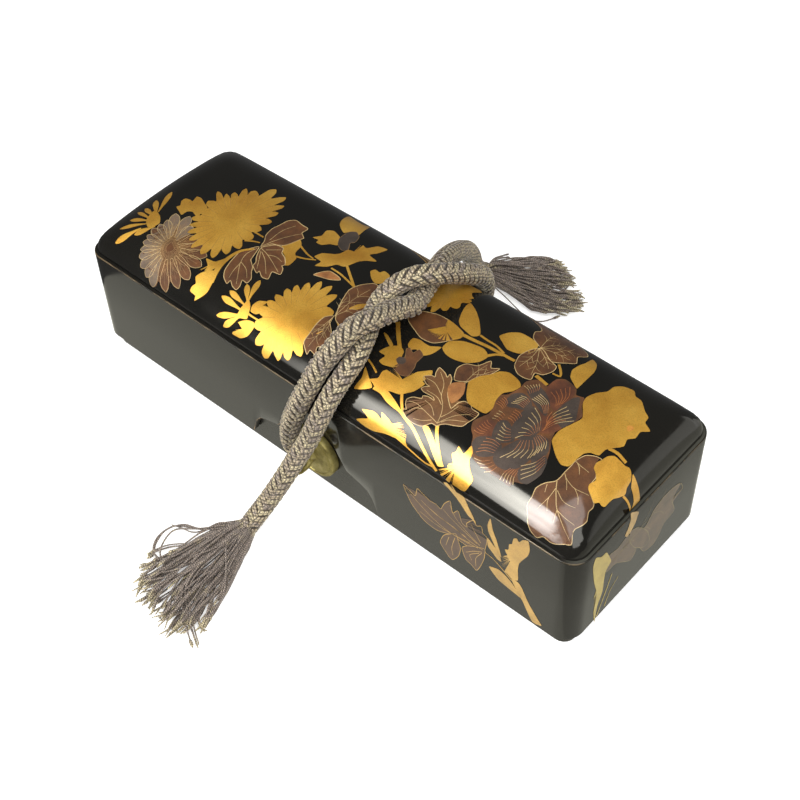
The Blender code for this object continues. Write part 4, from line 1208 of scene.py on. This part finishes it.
# finish, layer, how many, bend, and in the photo: first and last outer end, first and last inner end
petalLines = [
    ("fineGold", 5, 5, -0.14, (500, 457.5), (527.5, 458.7), (521, 440.6), (532, 440)),
    ("fineGold", 5, 5, -0.2, (530, 458), (545, 449), (534, 437.5), (541, 435)),
    ("fineGold", 5, 7, 0.12, (515, 438), (535, 408), (531, 436), (539, 431)),
    ("fineRust", 5, 4, -0.12, (552, 412), (566, 420), (547, 427), (542, 431)),
    ("fineGold", 5, 5, -0.1, (567, 407), (574, 421), (546, 425), (542, 431)),
    ("fineRust", 5, 5, 0.12, (551, 392), (570, 387), (556, 406), (562, 404)),
    ("fineGold", 5, 5, 0.16, (532, 399), (540, 394), (544, 414), (548, 413)),
    ("fineGold", 5, 6, 0.14, (511, 403), (521, 396), (524, 408), (530, 402)),
    ("fineRust", 5, 5, 0.1, (496, 403), (504, 397), (503, 409), (508, 404)),
    ("fineGold", 5, 4, 0.1, (492, 418), (499, 411), (500, 422), (505, 416)),
    ("fineRust", 5, 5, 0.12, (508, 418), (515, 410), (514, 423), (522, 417)),
    ("fineRust", 5, 6, -0.1, (474, 430), (487, 420), (484, 434), (492, 426)),
    ("fineGold", 5, 5, -0.14, (496, 438), (503, 423), (511, 440), (511, 430)),
    ("fineRust", 5, 5, 0.1, (476, 452), (486, 438), (494, 453), (500, 445)),
    ("fineGold", 5, 4, -0.12, (474, 458), (484, 472), (490, 460), (497, 467)),
    ("fineGold", 5, 5, 0.1, (500, 480), (513, 485), (511, 468), (518, 471)),
    ("fineGold", 5, 4, -0.12, (521, 479), (521, 466), (545, 463), (545, 456)),
    ("fineGold", 5, 6, 0.12, (524, 386), (539, 384), (530, 394), (538, 391)),
]
# the same for the walls, after the side, with all points in the photo
wallAreas = [
    ("front", "wallBrown", 1, "fine", [(403.5, 484.5), (410, 490.8), (415.5, 495.5), (417.5, 488.5),
     (423, 494), (430, 500.7), (436, 504), (440.7, 508.6), (444.3, 503.6), (450, 500.7),
     (451.4, 505.7), (452.9, 512.9), (457.9, 510.7), (460, 515.7), (462.1, 522.9), (467.1, 527.1),
     (466.9, 522.9), (474.3, 520), (476.4, 525.7), (481.4, 526.4), (482.9, 532.9), (487.1, 537.9),
     (486.4, 544.3), (483.6, 552.5), (476, 548), (466, 545), (452, 535), (437, 530), (424, 520),
     (411.5, 503)]),
    ("front", "wallBrown", 2, "fine", [(440.7, 540), (444.3, 535), (451.4, 533.6), (456.4, 534.3),
     (458.6, 541.4), (460.7, 548.6), (458.6, 555.7), (452.9, 559.3), (448.6, 555.7), (441.4, 544.3)]),
    ("front", "wallBrown", 2, "fine", [(462.1, 547.9), (467.1, 545.7), (477.1, 547.1), (485, 549.3),
     (484.3, 558.6), (480, 567.1), (476.4, 570), (471.4, 564.3), (465.7, 558.6)]),
    ("front", "wallGold", 2, "", [(443.6, 482.1), (451.4, 484.3), (453.6, 490.4), (463.6, 496.6),
     (468.6, 507.1), (473.6, 517.1), (475.7, 524.3), (472.9, 520), (467.9, 515), (462.1, 505.7),
     (457.1, 498.6), (450, 490)]),
    ("front", "wallGold", 2, "", [(487.9, 524.3), (490.7, 518.6), (492.9, 530), (497.1, 541.4),
     (501.4, 557.1), (497.1, 551.4), (492.9, 541.4), (488.6, 531.4)]),
    ("front", "wallGold", 2, "", [(487.9, 537.9), (492.9, 544.3), (498.6, 552.9), (501.4, 561.4),
     (497.1, 558.6), (491.4, 550.7), (487.9, 545.7)]),
    ("front", "wallGold", 2, "", [(502.1, 556.4), (507.9, 557.9), (510.6, 561), (507.9, 556),
     (505, 549.5), (508.6, 549.5), (509.3, 544.3), (512.1, 543.6), (513.6, 538.6), (517.1, 538.6),
     (519.3, 542.1), (522.9, 540), (528.6, 541.4), (529.7, 550), (527.9, 555.7), (522.9, 560),
     (519.3, 563.6), (517.9, 570), (517.9, 580), (512.1, 579), (507.9, 574.3), (501.4, 567.5)]),
    ("front", "wallGold", 2, "", [(489.3, 566.4), (498.6, 569.3), (505.7, 575.7), (512.9, 584.3),
     (521, 597.6), (515.7, 593.9), (507.1, 587), (498.6, 579.6), (492.9, 572.4)]),
    ("front", "wallGold", 2, "", [(511.5, 578.9), (517.9, 582.1), (521.4, 587.1), (528.6, 602.9),
     (535.7, 615.7), (541.4, 625.7), (532.9, 622.1), (528.6, 614.3), (522.6, 601), (516.7, 590.4)]),
    ("end", "wallFaint", 1, "fine", [(680, 483), (682, 489), (672, 499), (674, 510), (664, 523),
     (658, 536), (652, 545), (643, 551), (636, 540), (646, 525), (655, 508), (668, 492)]),
    ("end", "wallFaint", 2, "fine", [(639, 527), (647, 531), (649, 540), (643, 547), (634, 547),
     (629, 540), (631, 531)]),
    ("end", "wallFaint", 1, "fine", [(629, 535), (636, 548), (630, 560), (616, 563), (606, 572),
     (609, 556), (618, 548)]),
    ("end", "oliveGold", 2, "", [(606.5, 552.5), (609.5, 557), (611, 561), (606, 570), (604, 578),
     (602, 592), (597, 606), (594, 622), (593, 600), (596.5, 594), (594, 582), (593, 568), (596, 558),
     (601, 557)]),
    ("end", "wallGold", 2, "", [(630.7, 512.9), (638.6, 511.4), (637.4, 515.7), (635, 522.9),
     (630.7, 531.4), (627.1, 536.4), (625, 535.7), (627.9, 528.6), (630.7, 519.3)]),
]
# side, finish, layer, width in mm at the first and at the last point, lines
wallStems = [
    ("front", "wallGold", 2.5, 0.26, 0.14, [
        [(483, 550), (470, 541), (455, 528), (440, 517), (425, 504)],
        [(480, 545.5), (468, 533), (456, 518), (450, 505)],
        [(481, 543), (475.5, 533), (471, 524)],
        [(478, 548), (460, 538.5), (445, 528.5), (430, 515), (415, 498.5), (406, 488)],
        [(477, 543.5), (464, 531), (452, 519), (443, 509)],
        [(466, 537), (452, 526), (436, 514), (421, 500)],
        [(470, 543), (452, 533.5), (436, 524), (420, 511)],
        [(455, 538), (452, 547), (453, 555)],
        [(449, 537), (446, 545)],
        [(482, 552), (474, 551), (466, 552)],
        [(482, 553), (476, 558), (476, 566)],
        [(479, 553), (470, 554.5), (472, 560)],
    ]),
    ("front", "wallGold", 2, 0.3, 0.5, [[(485, 552.1), (494.3, 559.8), (504.3, 571.4), (511.4, 580)]]),
    ("end", "oliveGold", 2, 0.5, 0.8, [[(612, 573), (607, 587), (600, 606), (596, 617)]]),
    ("end", "oliveGold", 2, 0.4, 0.6, [[(618, 576), (610, 590), (604, 606)]]),
]
# side, finish, layer, joint, vein tips
wallVeins = [
    ("end", "faintGold", 2, (612, 562), [(678, 488), (640, 530)]),
]

layerHeight = {"first": 0.05, "step": 0.018}


def smoothLoop(points, per=6, pull=0.36):
    # closed smooth curve through the points; a lower pull keeps the tips sharper
    ring = np.array(points, float)
    before, after, beyond = np.roll(ring, 1, 0), np.roll(ring, -1, 0), np.roll(ring, -2, 0)
    parts = []
    for t in np.linspace(0.0, 1.0, per, endpoint=False):
        leave, arrive = pull * (after - before), pull * (beyond - ring)
        parts.append(ring + leave * t + (3 * (after - ring) - 2 * leave - arrive) * t ** 2
                     + (2 * (ring - after) + leave + arrive) * t ** 3)
    return np.stack(parts, axis=1).reshape(-1, 2)


def smoothLine(points, step=0.8):
    if len(points) == 2:
        return np.linspace(points[0], points[1], 12)
    line, _ = smoothRoute(points, step)
    return line


def height(layer):
    return layerHeight["first"] + layerHeight["step"] * layer


def quarterTurn(arm):
    # the arm turned to the left
    return np.array([-arm[1], arm[0]])


class Sheet:
    # collects flat shapes and ribbons of one finish, in mm, before they are laid on the lid
    def __init__(self):
        self.areas, self.lines = bmesh.new(), bmesh.new()

    def area(self, outline, layer):
        verts = [bmesh.ops.create_vert(self.areas, co=(u, v, height(layer)))["vert"][0] for u, v in outline]
        faces = bmesh.ops.contextual_create(self.areas, geom=verts)["faces"]
        bmesh.ops.triangulate(self.areas, faces=faces)

    def ribbon(self, line, layer, first, last):
        line = np.asarray(line, float)
        ahead = unit(np.gradient(line, axis=0))
        sideways = np.column_stack([-ahead[:, 1], ahead[:, 0]])
        half = np.linspace(first / 2, last / 2, len(line))[:, None]
        left, right = line + sideways * half, line - sideways * half
        level = height(layer)
        pair = [bmesh.ops.create_vert(self.lines, co=(*side[0], level))["vert"][0] for side in (right, left)]
        edge = bmesh.ops.contextual_create(self.lines, geom=pair)["edges"][0]
        for step in range(1, len(line)):
            made = bmesh.ops.extrude_edge_only(self.lines, edges=[edge])["geom"]
            verts = [part for part in made if isinstance(part, bmesh.types.BMVert)]
            edge = next(part for part in made if isinstance(part, bmesh.types.BMEdge)
                        and part.verts[0] in verts and part.verts[1] in verts)
            onRight = next(vert for vert in verts
                           if any(other.other_vert(vert) is pair[0] for other in vert.link_edges))
            onLeft = verts[0] if verts[1] is onRight else verts[1]
            onRight.co, onLeft.co = (*right[step], level), (*left[step], level)
            pair = [onRight, onLeft]

    def loop(self, outline, layer, wide):
        self.ribbon(np.vstack([outline, outline[:2]]), layer, wide, wide)


def blossomOutline(middle, tips):
    # rounded petal ends at the tips, with a notch between each two
    points = []
    for tip, following in zip(tips, np.roll(tips, -1, 0)):
        arm, other = tip - middle, following - middle
        side = quarterTurn(arm) * np.sign(arm[0] * other[1] - arm[1] * other[0])
        long = np.linalg.norm(arm)
        gapWide = min(np.linalg.norm(following - tip), 0.7 * long) / long
        shoulder = 0.26 * gapWide * side
        points += [middle + 0.92 * arm - shoulder, middle + arm, middle + 0.92 * arm + shoulder]
        points.append(middle + 0.80 * 0.5 * (arm + other))
    return np.array(points)


def petalOutline(base, tip, half):
    # a pointed petal, widest near its tip
    base, tip = np.array(base), np.array(tip)
    arm = tip - base
    side = quarterTurn(arm) / np.linalg.norm(arm) * half
    shape = [(0.0, 0.2), (0.25, 0.44), (0.5, 0.84), (0.7, 1.0), (0.86, 0.76), (0.95, 0.38)]
    points = [base + t * arm + w * side for t, w in shape] + [tip]
    return np.array(points + [base + t * arm - w * side for t, w in reversed(shape)])


def sideVeins(sheet, joint, tip, layer, wide):
    # a middle vein, with two pairs of side veins on a long leaf
    joint, tip = np.array(joint), np.array(tip)
    arm = tip - joint
    side = quarterTurn(arm)
    rib = [joint, joint + 0.5 * arm + 0.04 * side, joint + 0.93 * arm]
    sheet.ribbon(smoothLine(rib), layer, wide, 0.5 * wide)
    if np.linalg.norm(arm) > 9.0:
        for share in (0.40, 0.62):
            for way in (1, -1):
                start = joint + share * arm + 0.035 * side
                end = start + (0.20 * arm + way * 0.22 * side) * (1.15 - 0.5 * share)
                bend = start + 0.45 * (end - start) + 0.03 * arm
                sheet.ribbon(smoothLine([start, bend, end]), layer, 0.75 * wide, 0.4 * wide)


def onCrown(flat):
    # along the crown's own surface, and out from it by the layer's height
    x, y = (np.sign(flat[:, k]) * np.interp(np.abs(flat[:, k]), crownTables[k][1], crownTables[k][0])
            for k in (0, 1))
    limitX, limitY = crownHalf[0] - 3e-5, crownHalf[1] - 3e-5
    x, y = np.clip(x, -limitX, limitX), np.clip(y, -limitY, limitY)
    small = 1e-5
    slopeX = (crownZ(x + small, y) - crownZ(x - small, y)) / (2 * small)
    slopeY = (crownZ(x, y + small) - crownZ(x, y - small)) / (2 * small)
    normal = unit(np.column_stack([-slopeX, -slopeY, np.ones(len(x))]))
    return np.column_stack([x, y, crownZ(x, y)]) + normal * flat[:, 2:3] / millimetres


def onFrontWall(flat):
    face = -lidShape["width"] / 2 * millimetres
    return np.column_stack([flat[:, 0], face - flat[:, 2], flat[:, 1]]) / millimetres


def onEndWall(flat):
    # round the upright corners as well, where the picture runs on
    radius, half = lidShape["corner"] * millimetres, lidShape["width"] / 2 * millimetres
    past = np.maximum(np.abs(flat[:, 0]) - (half - radius), 0.0)
    turn = np.minimum(past / radius, math.pi / 2)
    reach = radius + flat[:, 2]
    x = lidShape["length"] / 2 * millimetres - radius + reach * np.cos(turn)
    y = np.sign(flat[:, 0]) * (np.minimum(np.abs(flat[:, 0]), half - radius) + reach * np.sin(turn))
    return np.column_stack([x, y, flat[:, 1]]) / millimetres


def layDown(name, sheet, material, place, grid):
    # cut along the grid, so that wide areas can bend with the lid, and laid in place
    shell = sheet.areas
    for axis, steps in enumerate(grid):
        for value in steps:
            spot, normal = [0.0, 0.0, 0.0], [0.0, 0.0, 0.0]
            spot[axis], normal[axis] = value, 1.0
            bmesh.ops.bisect_plane(shell, geom=list(shell.verts) + list(shell.edges) + list(shell.faces),
                                   plane_co=spot, plane_no=normal, dist=1e-5)
    flat = bpy.data.meshes.new(name)
    sheet.lines.to_mesh(flat)
    shell.from_mesh(flat)
    bpy.data.meshes.remove(flat)
    sheet.lines.free()
    shell.normal_update()
    bmesh.ops.reverse_faces(shell, faces=[face for face in shell.faces if face.normal.z < 0])
    laid = place(np.array([vert.co[:] for vert in shell.verts]))
    for vert, point in zip(shell.verts, laid):
        vert.co = point
    mesh = bpy.data.meshes.new(name)
    shell.normal_update()
    shell.to_mesh(mesh)
    shell.free()
    addPiece(name, mesh, [material], 60)


def sheetOf(sheets, key):
    return sheets.setdefault(key, Sheet())


def drawBlossom(sheets, kind, layer, rings, centre, tips):
    middle, tips = np.array(centre), np.array(tips, float)
    sheetOf(sheets, kind).area(smoothLoop(blossomOutline(middle, tips), 4), layer)
    if not rings:
        for tip, following in zip(tips, np.roll(tips, -1, 0)):
            notch = middle + 0.40 * (tip + following - 2 * middle)
            crease = smoothLine([notch, middle + 0.55 * (notch - middle)])
            sheetOf(sheets, "deepGold").ribbon(crease, layer + 0.5, 0.22, 0.10)
    for ring in range(rings):
        outermost = ring == 0
        size = 1.0 - 0.30 * ring
        spots = tips if ring % 2 == 0 else 0.5 * (tips + np.roll(tips, -1, 0))
        for spot, following in zip(spots, np.roll(spots, -1, 0)):
            tip = middle + size * (spot - middle)
            base = middle + 0.30 * size * (spot - middle)
            half = 0.50 * size * min(np.linalg.norm(following - spot), 4.6)
            petal = smoothLoop(petalOutline(base, tip, half), 3)
            arm = tip - middle
            if outermost and arm[0] < 0.25 * np.linalg.norm(arm):
                sheetOf(sheets, "ashBrown").area(petal, layer + 0.25)
            finish, wide = ("fineGold", 0.17) if outermost else ("dimGold", 0.14)
            sheetOf(sheets, finish).loop(petal, layer + 0.5, wide)
            for turn in (-0.16, 0.0, 0.16):
                aside = turn * quarterTurn(arm) * half / np.linalg.norm(arm) * 2.6
                rib = [base + 0.2 * arm, middle + 0.6 * arm + aside,
                       middle + (0.86 - abs(turn)) * arm + aside]
                sheetOf(sheets, "dimGold").ribbon(smoothLine(rib), layer + 0.5, 0.12, 0.07)


def drawPetalLines(sheets, kind, layer, count, curve, start, end, innerStart, innerEnd):
    # rust lines from petal edge inwards, some with gold on their outer part
    for share in np.linspace(0.0, 1.0, count):
        outer = np.array(start) * (1 - share) + np.array(end) * share
        inner = np.array(innerStart) * (1 - share) + np.array(innerEnd) * share
        arm = inner - outer
        line = smoothLine([outer, outer + 0.5 * arm + curve * quarterTurn(arm), inner], 0.5)
        sheetOf(sheets, "fineRust").ribbon(line, layer + 0.5, 0.20, 0.10)
        if kind == "fineGold":
            sheetOf(sheets, kind).ribbon(line[:int(0.6 * len(line))], layer + 0.7, 0.22, 0.14)


edgeLines = {"gold": ("fineGold", 0.27), "fine": ("dimGold", 0.15)}
crownSteps = ([0, 12, 24, 36, 48, 60, 72, 84, 94, 102, *np.arange(106.0, 131.0, 2.0)],
              [0, 4, 8, 12, 16, 20, 24, 27, *np.arange(29.0, 49.0, 1.5)])


def makeCrownPicture():
    sheets = {}
    for kind, layer, edge, window, outline in areas:
        loop = smoothLoop(spotsOnCrown(window, outline))
        sheetOf(sheets, kind).area(loop, layer)
        if edge:
            finish, wide = edgeLines[edge]
            sheetOf(sheets, finish).loop(loop, layer + 0.5, wide)
    for kind, layer, rings, window, centre, tips in blossoms:
        drawBlossom(sheets, kind, layer, rings, spotOnCrown(window, centre), spotsOnCrown(window, tips))
    for kind, layer, half, window, *ends in petals:
        outline = petalOutline(*spotsOnCrown(window, ends), half)
        sheetOf(sheets, kind).area(smoothLoop(outline, 4), layer)
    for kind, layer, first, last, window, lines in stems:
        for line in lines:
            sheetOf(sheets, kind).ribbon(smoothLine(spotsOnCrown(window, line)), layer, first, last)
    for kind, layer, window, joint, tips in leafVeins:
        for tip in spotsOnCrown(window, tips):
            sideVeins(sheetOf(sheets, kind), spotOnCrown(window, joint), tip, layer + 0.5, 0.17)
    for kind, layer, count, bend, *ends in petalLines:
        drawPetalLines(sheets, kind, layer, count, bend, *spotsOnCrown("photo", ends))
    grid = [[way * reach for way in (-1, 1) for reach in steps] for steps in crownSteps]
    for kind, made in sheets.items():
        layDown("crown" + kind[0].upper() + kind[1:], made, powders[kind], onCrown, grid)


wallSides = {
    "front": {"place": onFrontWall, "edge": "wallGold", "grid": []},
    "end": {"place": onEndWall, "edge": "faintGold", "grid": [np.arange(-42.0, 42.1, 1.5)]},
}


def makeWallPicture():
    sheets = {}
    for side, kind, layer, edge, outline in wallAreas:
        loop = smoothLoop(spotsOnWall(side, outline))
        sheetOf(sheets, (side, kind)).area(loop, layer)
        if edge:
            sheetOf(sheets, (side, wallSides[side]["edge"])).loop(loop, layer + 0.5, 0.24)
    for side, kind, layer, first, last, lines in wallStems:
        for line in lines:
            sheetOf(sheets, (side, kind)).ribbon(smoothLine(spotsOnWall(side, line)), layer, first, last)
    for side, kind, layer, joint, tips in wallVeins:
        for tip in spotsOnWall(side, tips):
            sideVeins(sheetOf(sheets, (side, kind)), spotOnWall(side, joint), tip, layer + 0.5, 0.26)
    for (side, kind), made in sheets.items():
        facts = wallSides[side]
        layDown(side + kind[0].upper() + kind[1:], made, powders[kind], facts["place"], facts["grid"])


powders = {kind: makePowder(kind) for kind in pictureFinish}
powders["gold"] = sprinkledGold
makeCrownPicture()
makeWallPicture()
print("picture laid on the lid")

# brass fittings: disc with an engraved rim line, knob and ring
fitting = {
    "radius": 0.0116, "height": 0.0184, "face": 0.04205, "back": 0.0389, "line": 0.0098, "knob": 0.0023,
    "ringRadius": 0.0053, "ringReach": 0.0047, "ringWire": 0.0011,
}


def makeFitting(name, side):
    face, radius, line, knob = fitting["face"], fitting["radius"], fitting["line"], fitting["knob"]
    profile = [
        (0.0, fitting["back"]), (radius, fitting["back"]), (radius, face - 0.0006),
        (radius - 0.0002, face - 0.0002), (radius - 0.0007, face),
        (line + 0.0003, face), (line, face - 0.00025), (line - 0.0003, face), (line - 0.0012, face + 0.0001),
        (knob + 0.0004, face + 0.0003), (knob, face + 0.0007), (knob - 0.0003, face + 0.0014),
        (knob - 0.0010, face + 0.0019), (0.0, face + 0.0020),
    ]
    middle = Vector((0.0, 0.0, fitting["height"]))
    shell = bmesh.new()
    verts = [bmesh.ops.create_vert(shell, co=(r, side * y, middle.z))["vert"][0] for r, y in profile]
    edges = [bmesh.ops.contextual_create(shell, geom=[a, b])["edges"][0] for a, b in zip(verts, verts[1:])]
    bmesh.ops.spin(shell, geom=verts + edges, cent=middle, axis=(0.0, 1.0, 0.0), angle=2 * math.pi,
                   steps=72, use_merge=True)
    ring = middle + Vector((0.0, side * (face + fitting["ringReach"]), 0.0))
    top = Matrix.Translation(ring + Vector((0.0, 0.0, fitting["ringRadius"])))
    wire = bmesh.ops.create_circle(shell, segments=16, radius=fitting["ringWire"],
                                   matrix=top @ Matrix.Rotation(math.pi / 2, 4, "X"))["verts"]
    wireEdges = list({edge for vert in wire for edge in vert.link_edges})
    bmesh.ops.spin(shell, geom=wire + wireEdges, cent=ring, axis=(1.0, 0.0, 0.0), angle=2 * math.pi,
                   steps=56, use_merge=True)
    mesh = toMesh(name, shell, 1e-6)
    piece = addPiece(name.replace("_", "") + "Brass", mesh, [agedBrass], 35)
    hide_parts(name)


makeFitting("front_fitting", -1)
makeFitting("back_fitting", 1)
print("fittings made")

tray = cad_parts["tray"]
tray.data.materials.clear()
tray.data.materials.append(trayLacquer)

# table and light: a tall soft window on the left of the camera, a weak one above, and a dim room
stage = {
    "table": (0.80, 0.80, 0.79), "tableReach": (-3.0, 3.0), "tableGlow": 0.50,
    # the glossy lid mirrors these dull patches, along x and y and how bright, and not the table itself
    "mirrored": {"front": ((-0.16, 0.125), (-0.10, 0.08), 0.88), "end": ((0.125, 0.90), (-0.10, 0.90), 0.60)},
    "mirroredTone": (1.0, 0.985, 0.84),
    "window": {
        "x": (-0.60, -0.13), "z": (0.04, 1.22), "y": -0.90, "glow": 42.0,
        "rise": [(0.04, 0.33), (0.26, 0.58), (0.42, 0.84), (0.60, 1.0)],  # how bright it is by its height
        "run": [(0.0, 0.0), (0.08, 0.36), (0.15, 0.42), (0.27, 0.54), (0.34, 0.90), (0.42, 1.0), (0.46, 0.0)],
        "cloud": [(0.35, 0.68), (0.62, 1.0)],
    },
    "fill": {"place": (0.0, 0.0, 1.5), "size": 1.8, "power": 5.0},
    "backFill": {"place": (0.8, 0.8, 0.9), "size": 1.5, "power": 0.8},
    "windowFill": {"place": (-0.35, -0.90, 0.63), "size": 0.8, "power": 18.0},
    "side": {"place": (0.30, -0.16, 0.50), "size": 0.50, "power": 3.9},
    "card": {"place": (0.78, 0.86, 0.23), "turn": 47.0, "wide": 1.15, "high": 0.50, "glow": 1.3},
    "room": 0.15,
}


def standSheet(name, mesh, material, **seen):
    mesh.materials.append(material)
    made = bpy.data.objects.new(name, mesh)
    for key, value in seen.items():
        setattr(made, key, value)
    scene.collection.objects.link(made)


def levelSheet(name, alongX, alongY, height):
    sheet = bmesh.new()
    bmesh.ops.create_grid(sheet, x_segments=1, y_segments=1, size=0.5)
    bmesh.ops.scale(sheet, verts=sheet.verts, vec=(alongX[1] - alongX[0], alongY[1] - alongY[0], 1.0))
    bmesh.ops.translate(sheet, verts=sheet.verts, vec=(sum(alongX) / 2, sum(alongY) / 2, height))
    return toMesh(name, sheet)


def makeTable():
    material, tree, shader = newMaterial("paleTable")
    pale = tuple(0.99 * value for value in stage["table"])
    tone = ramp(tree, noise(tree, objectPattern(tree), 6.0, 2.0), [(0.3, pale), (0.7, stage["table"])])
    link(tree, tone, shader.inputs["Base Color"])
    shader.inputs["Roughness"].default_value = 0.9
    shader.inputs["Specular IOR Level"].default_value = 0.1
    shader.inputs["Emission Color"].default_value = (1.0, 1.0, 0.99, 1.0)
    shader.inputs["Emission Strength"].default_value = stage["tableGlow"]
    table = levelSheet("paleTable", stage["tableReach"], stage["tableReach"], 0.0)
    standSheet("paleTable", table, material, visible_glossy=False)


def makeGlow(name, strength, tone):
    material, tree, shader = newMaterial(name)
    shader.inputs["Base Color"].default_value = (0.0, 0.0, 0.0, 1.0)
    shader.inputs["Emission Color"].default_value = (*tone, 1.0)
    shader.inputs["Emission Strength"].default_value = strength
    return material, tree, shader


def makeWindow():
    # dimmer near its sill and at its left side, with faint clouds
    window = stage["window"]
    (leftX, rightX), (sill, top) = window["x"], window["z"]
    material, tree, shader = makeGlow("windowGlow", window["glow"], (1.0, 0.985, 0.96))
    place = node(tree, "ShaderNodeSeparateXYZ")
    link(tree, objectPattern(tree), place.inputs[0])
    rise = ramp(tree, place.outputs["Z"], window["rise"])
    fromLeft = mixColours(tree, 1.0, place.outputs["X"], (-leftX, -leftX, -leftX), "ADD")
    run = ramp(tree, fromLeft, window["run"])
    cloud = ramp(tree, noise(tree, objectPattern(tree, (5.0, 1.0, 2.2)), 2.0, 3.0, 0.6), window["cloud"])
    share = mixColours(tree, 1.0, mixColours(tree, 1.0, rise, run, "MULTIPLY"), cloud, "MULTIPLY")
    glow = node(tree, "ShaderNodeMath", operation="MULTIPLY")
    link(tree, share, glow.inputs[0])
    glow.inputs[1].default_value = window["glow"]
    link(tree, glow.outputs[0], shader.inputs["Emission Strength"])
    pane = bmesh.new()
    bmesh.ops.create_grid(pane, x_segments=1, y_segments=1, size=0.5)
    bmesh.ops.rotate(pane, verts=pane.verts, cent=(0, 0, 0), matrix=Matrix.Rotation(math.pi / 2, 3, "X"))
    bmesh.ops.scale(pane, verts=pane.verts, vec=(rightX - leftX, 1.0, top - sill))
    bmesh.ops.translate(pane, verts=pane.verts, vec=((leftX + rightX) / 2, window["y"], (sill + top) / 2))
    standSheet("window", toMesh("window", pane), material, visible_diffuse=False)


def makeCard():
    card = stage["card"]
    board = bmesh.new()
    bmesh.ops.create_grid(board, x_segments=1, y_segments=1, size=0.5)
    bmesh.ops.scale(board, verts=board.verts, vec=(card["high"], card["wide"], 1.0))
    stand = Matrix.Rotation(math.radians(card["turn"]), 3, "Z") @ Matrix.Rotation(math.pi / 2, 3, "Y")
    bmesh.ops.rotate(board, verts=board.verts, cent=(0, 0, 0), matrix=stand)
    bmesh.ops.translate(board, verts=board.verts, vec=card["place"])
    material, _, _ = makeGlow("whiteCard", card["glow"], (1.0, 0.99, 0.95))
    standSheet("sideCard", toMesh("sideCard", board), material, visible_diffuse=False)


def makeLamp(name):
    facts = stage[name]
    data = bpy.data.lights.new(name, "AREA")
    data.size, data.energy = facts["size"], facts["power"]
    lamp = bpy.data.objects.new(name, data)
    lamp.location = facts["place"]
    lamp.rotation_euler = (-Vector(facts["place"])).to_track_quat("-Z", "Y").to_euler()
    lamp.visible_glossy = name == "side"
    scene.collection.objects.link(lamp)


def makeStage():
    makeTable()
    for name, (alongX, alongY, strength) in stage["mirrored"].items():
        material, _, _ = makeGlow(name + "Glow", strength, stage["mirroredTone"])
        patch = levelSheet(name + "Mirrored", alongX, alongY, 0.0001)
        standSheet(name + "Mirrored", patch, material,
                   visible_camera=False, visible_diffuse=False, visible_shadow=False)
    makeWindow()
    makeCard()
    for name in ("fill", "backFill", "windowFill", "side"):
        makeLamp(name)
    world = bpy.data.worlds.new("room")
    world.use_nodes = True
    background = world.node_tree.nodes["Background"]
    background.inputs["Color"].default_value = (1.0, 1.0, 1.0, 1.0)
    background.inputs["Strength"].default_value = stage["room"]
    scene.world = world


makeStage()
print("stage set")
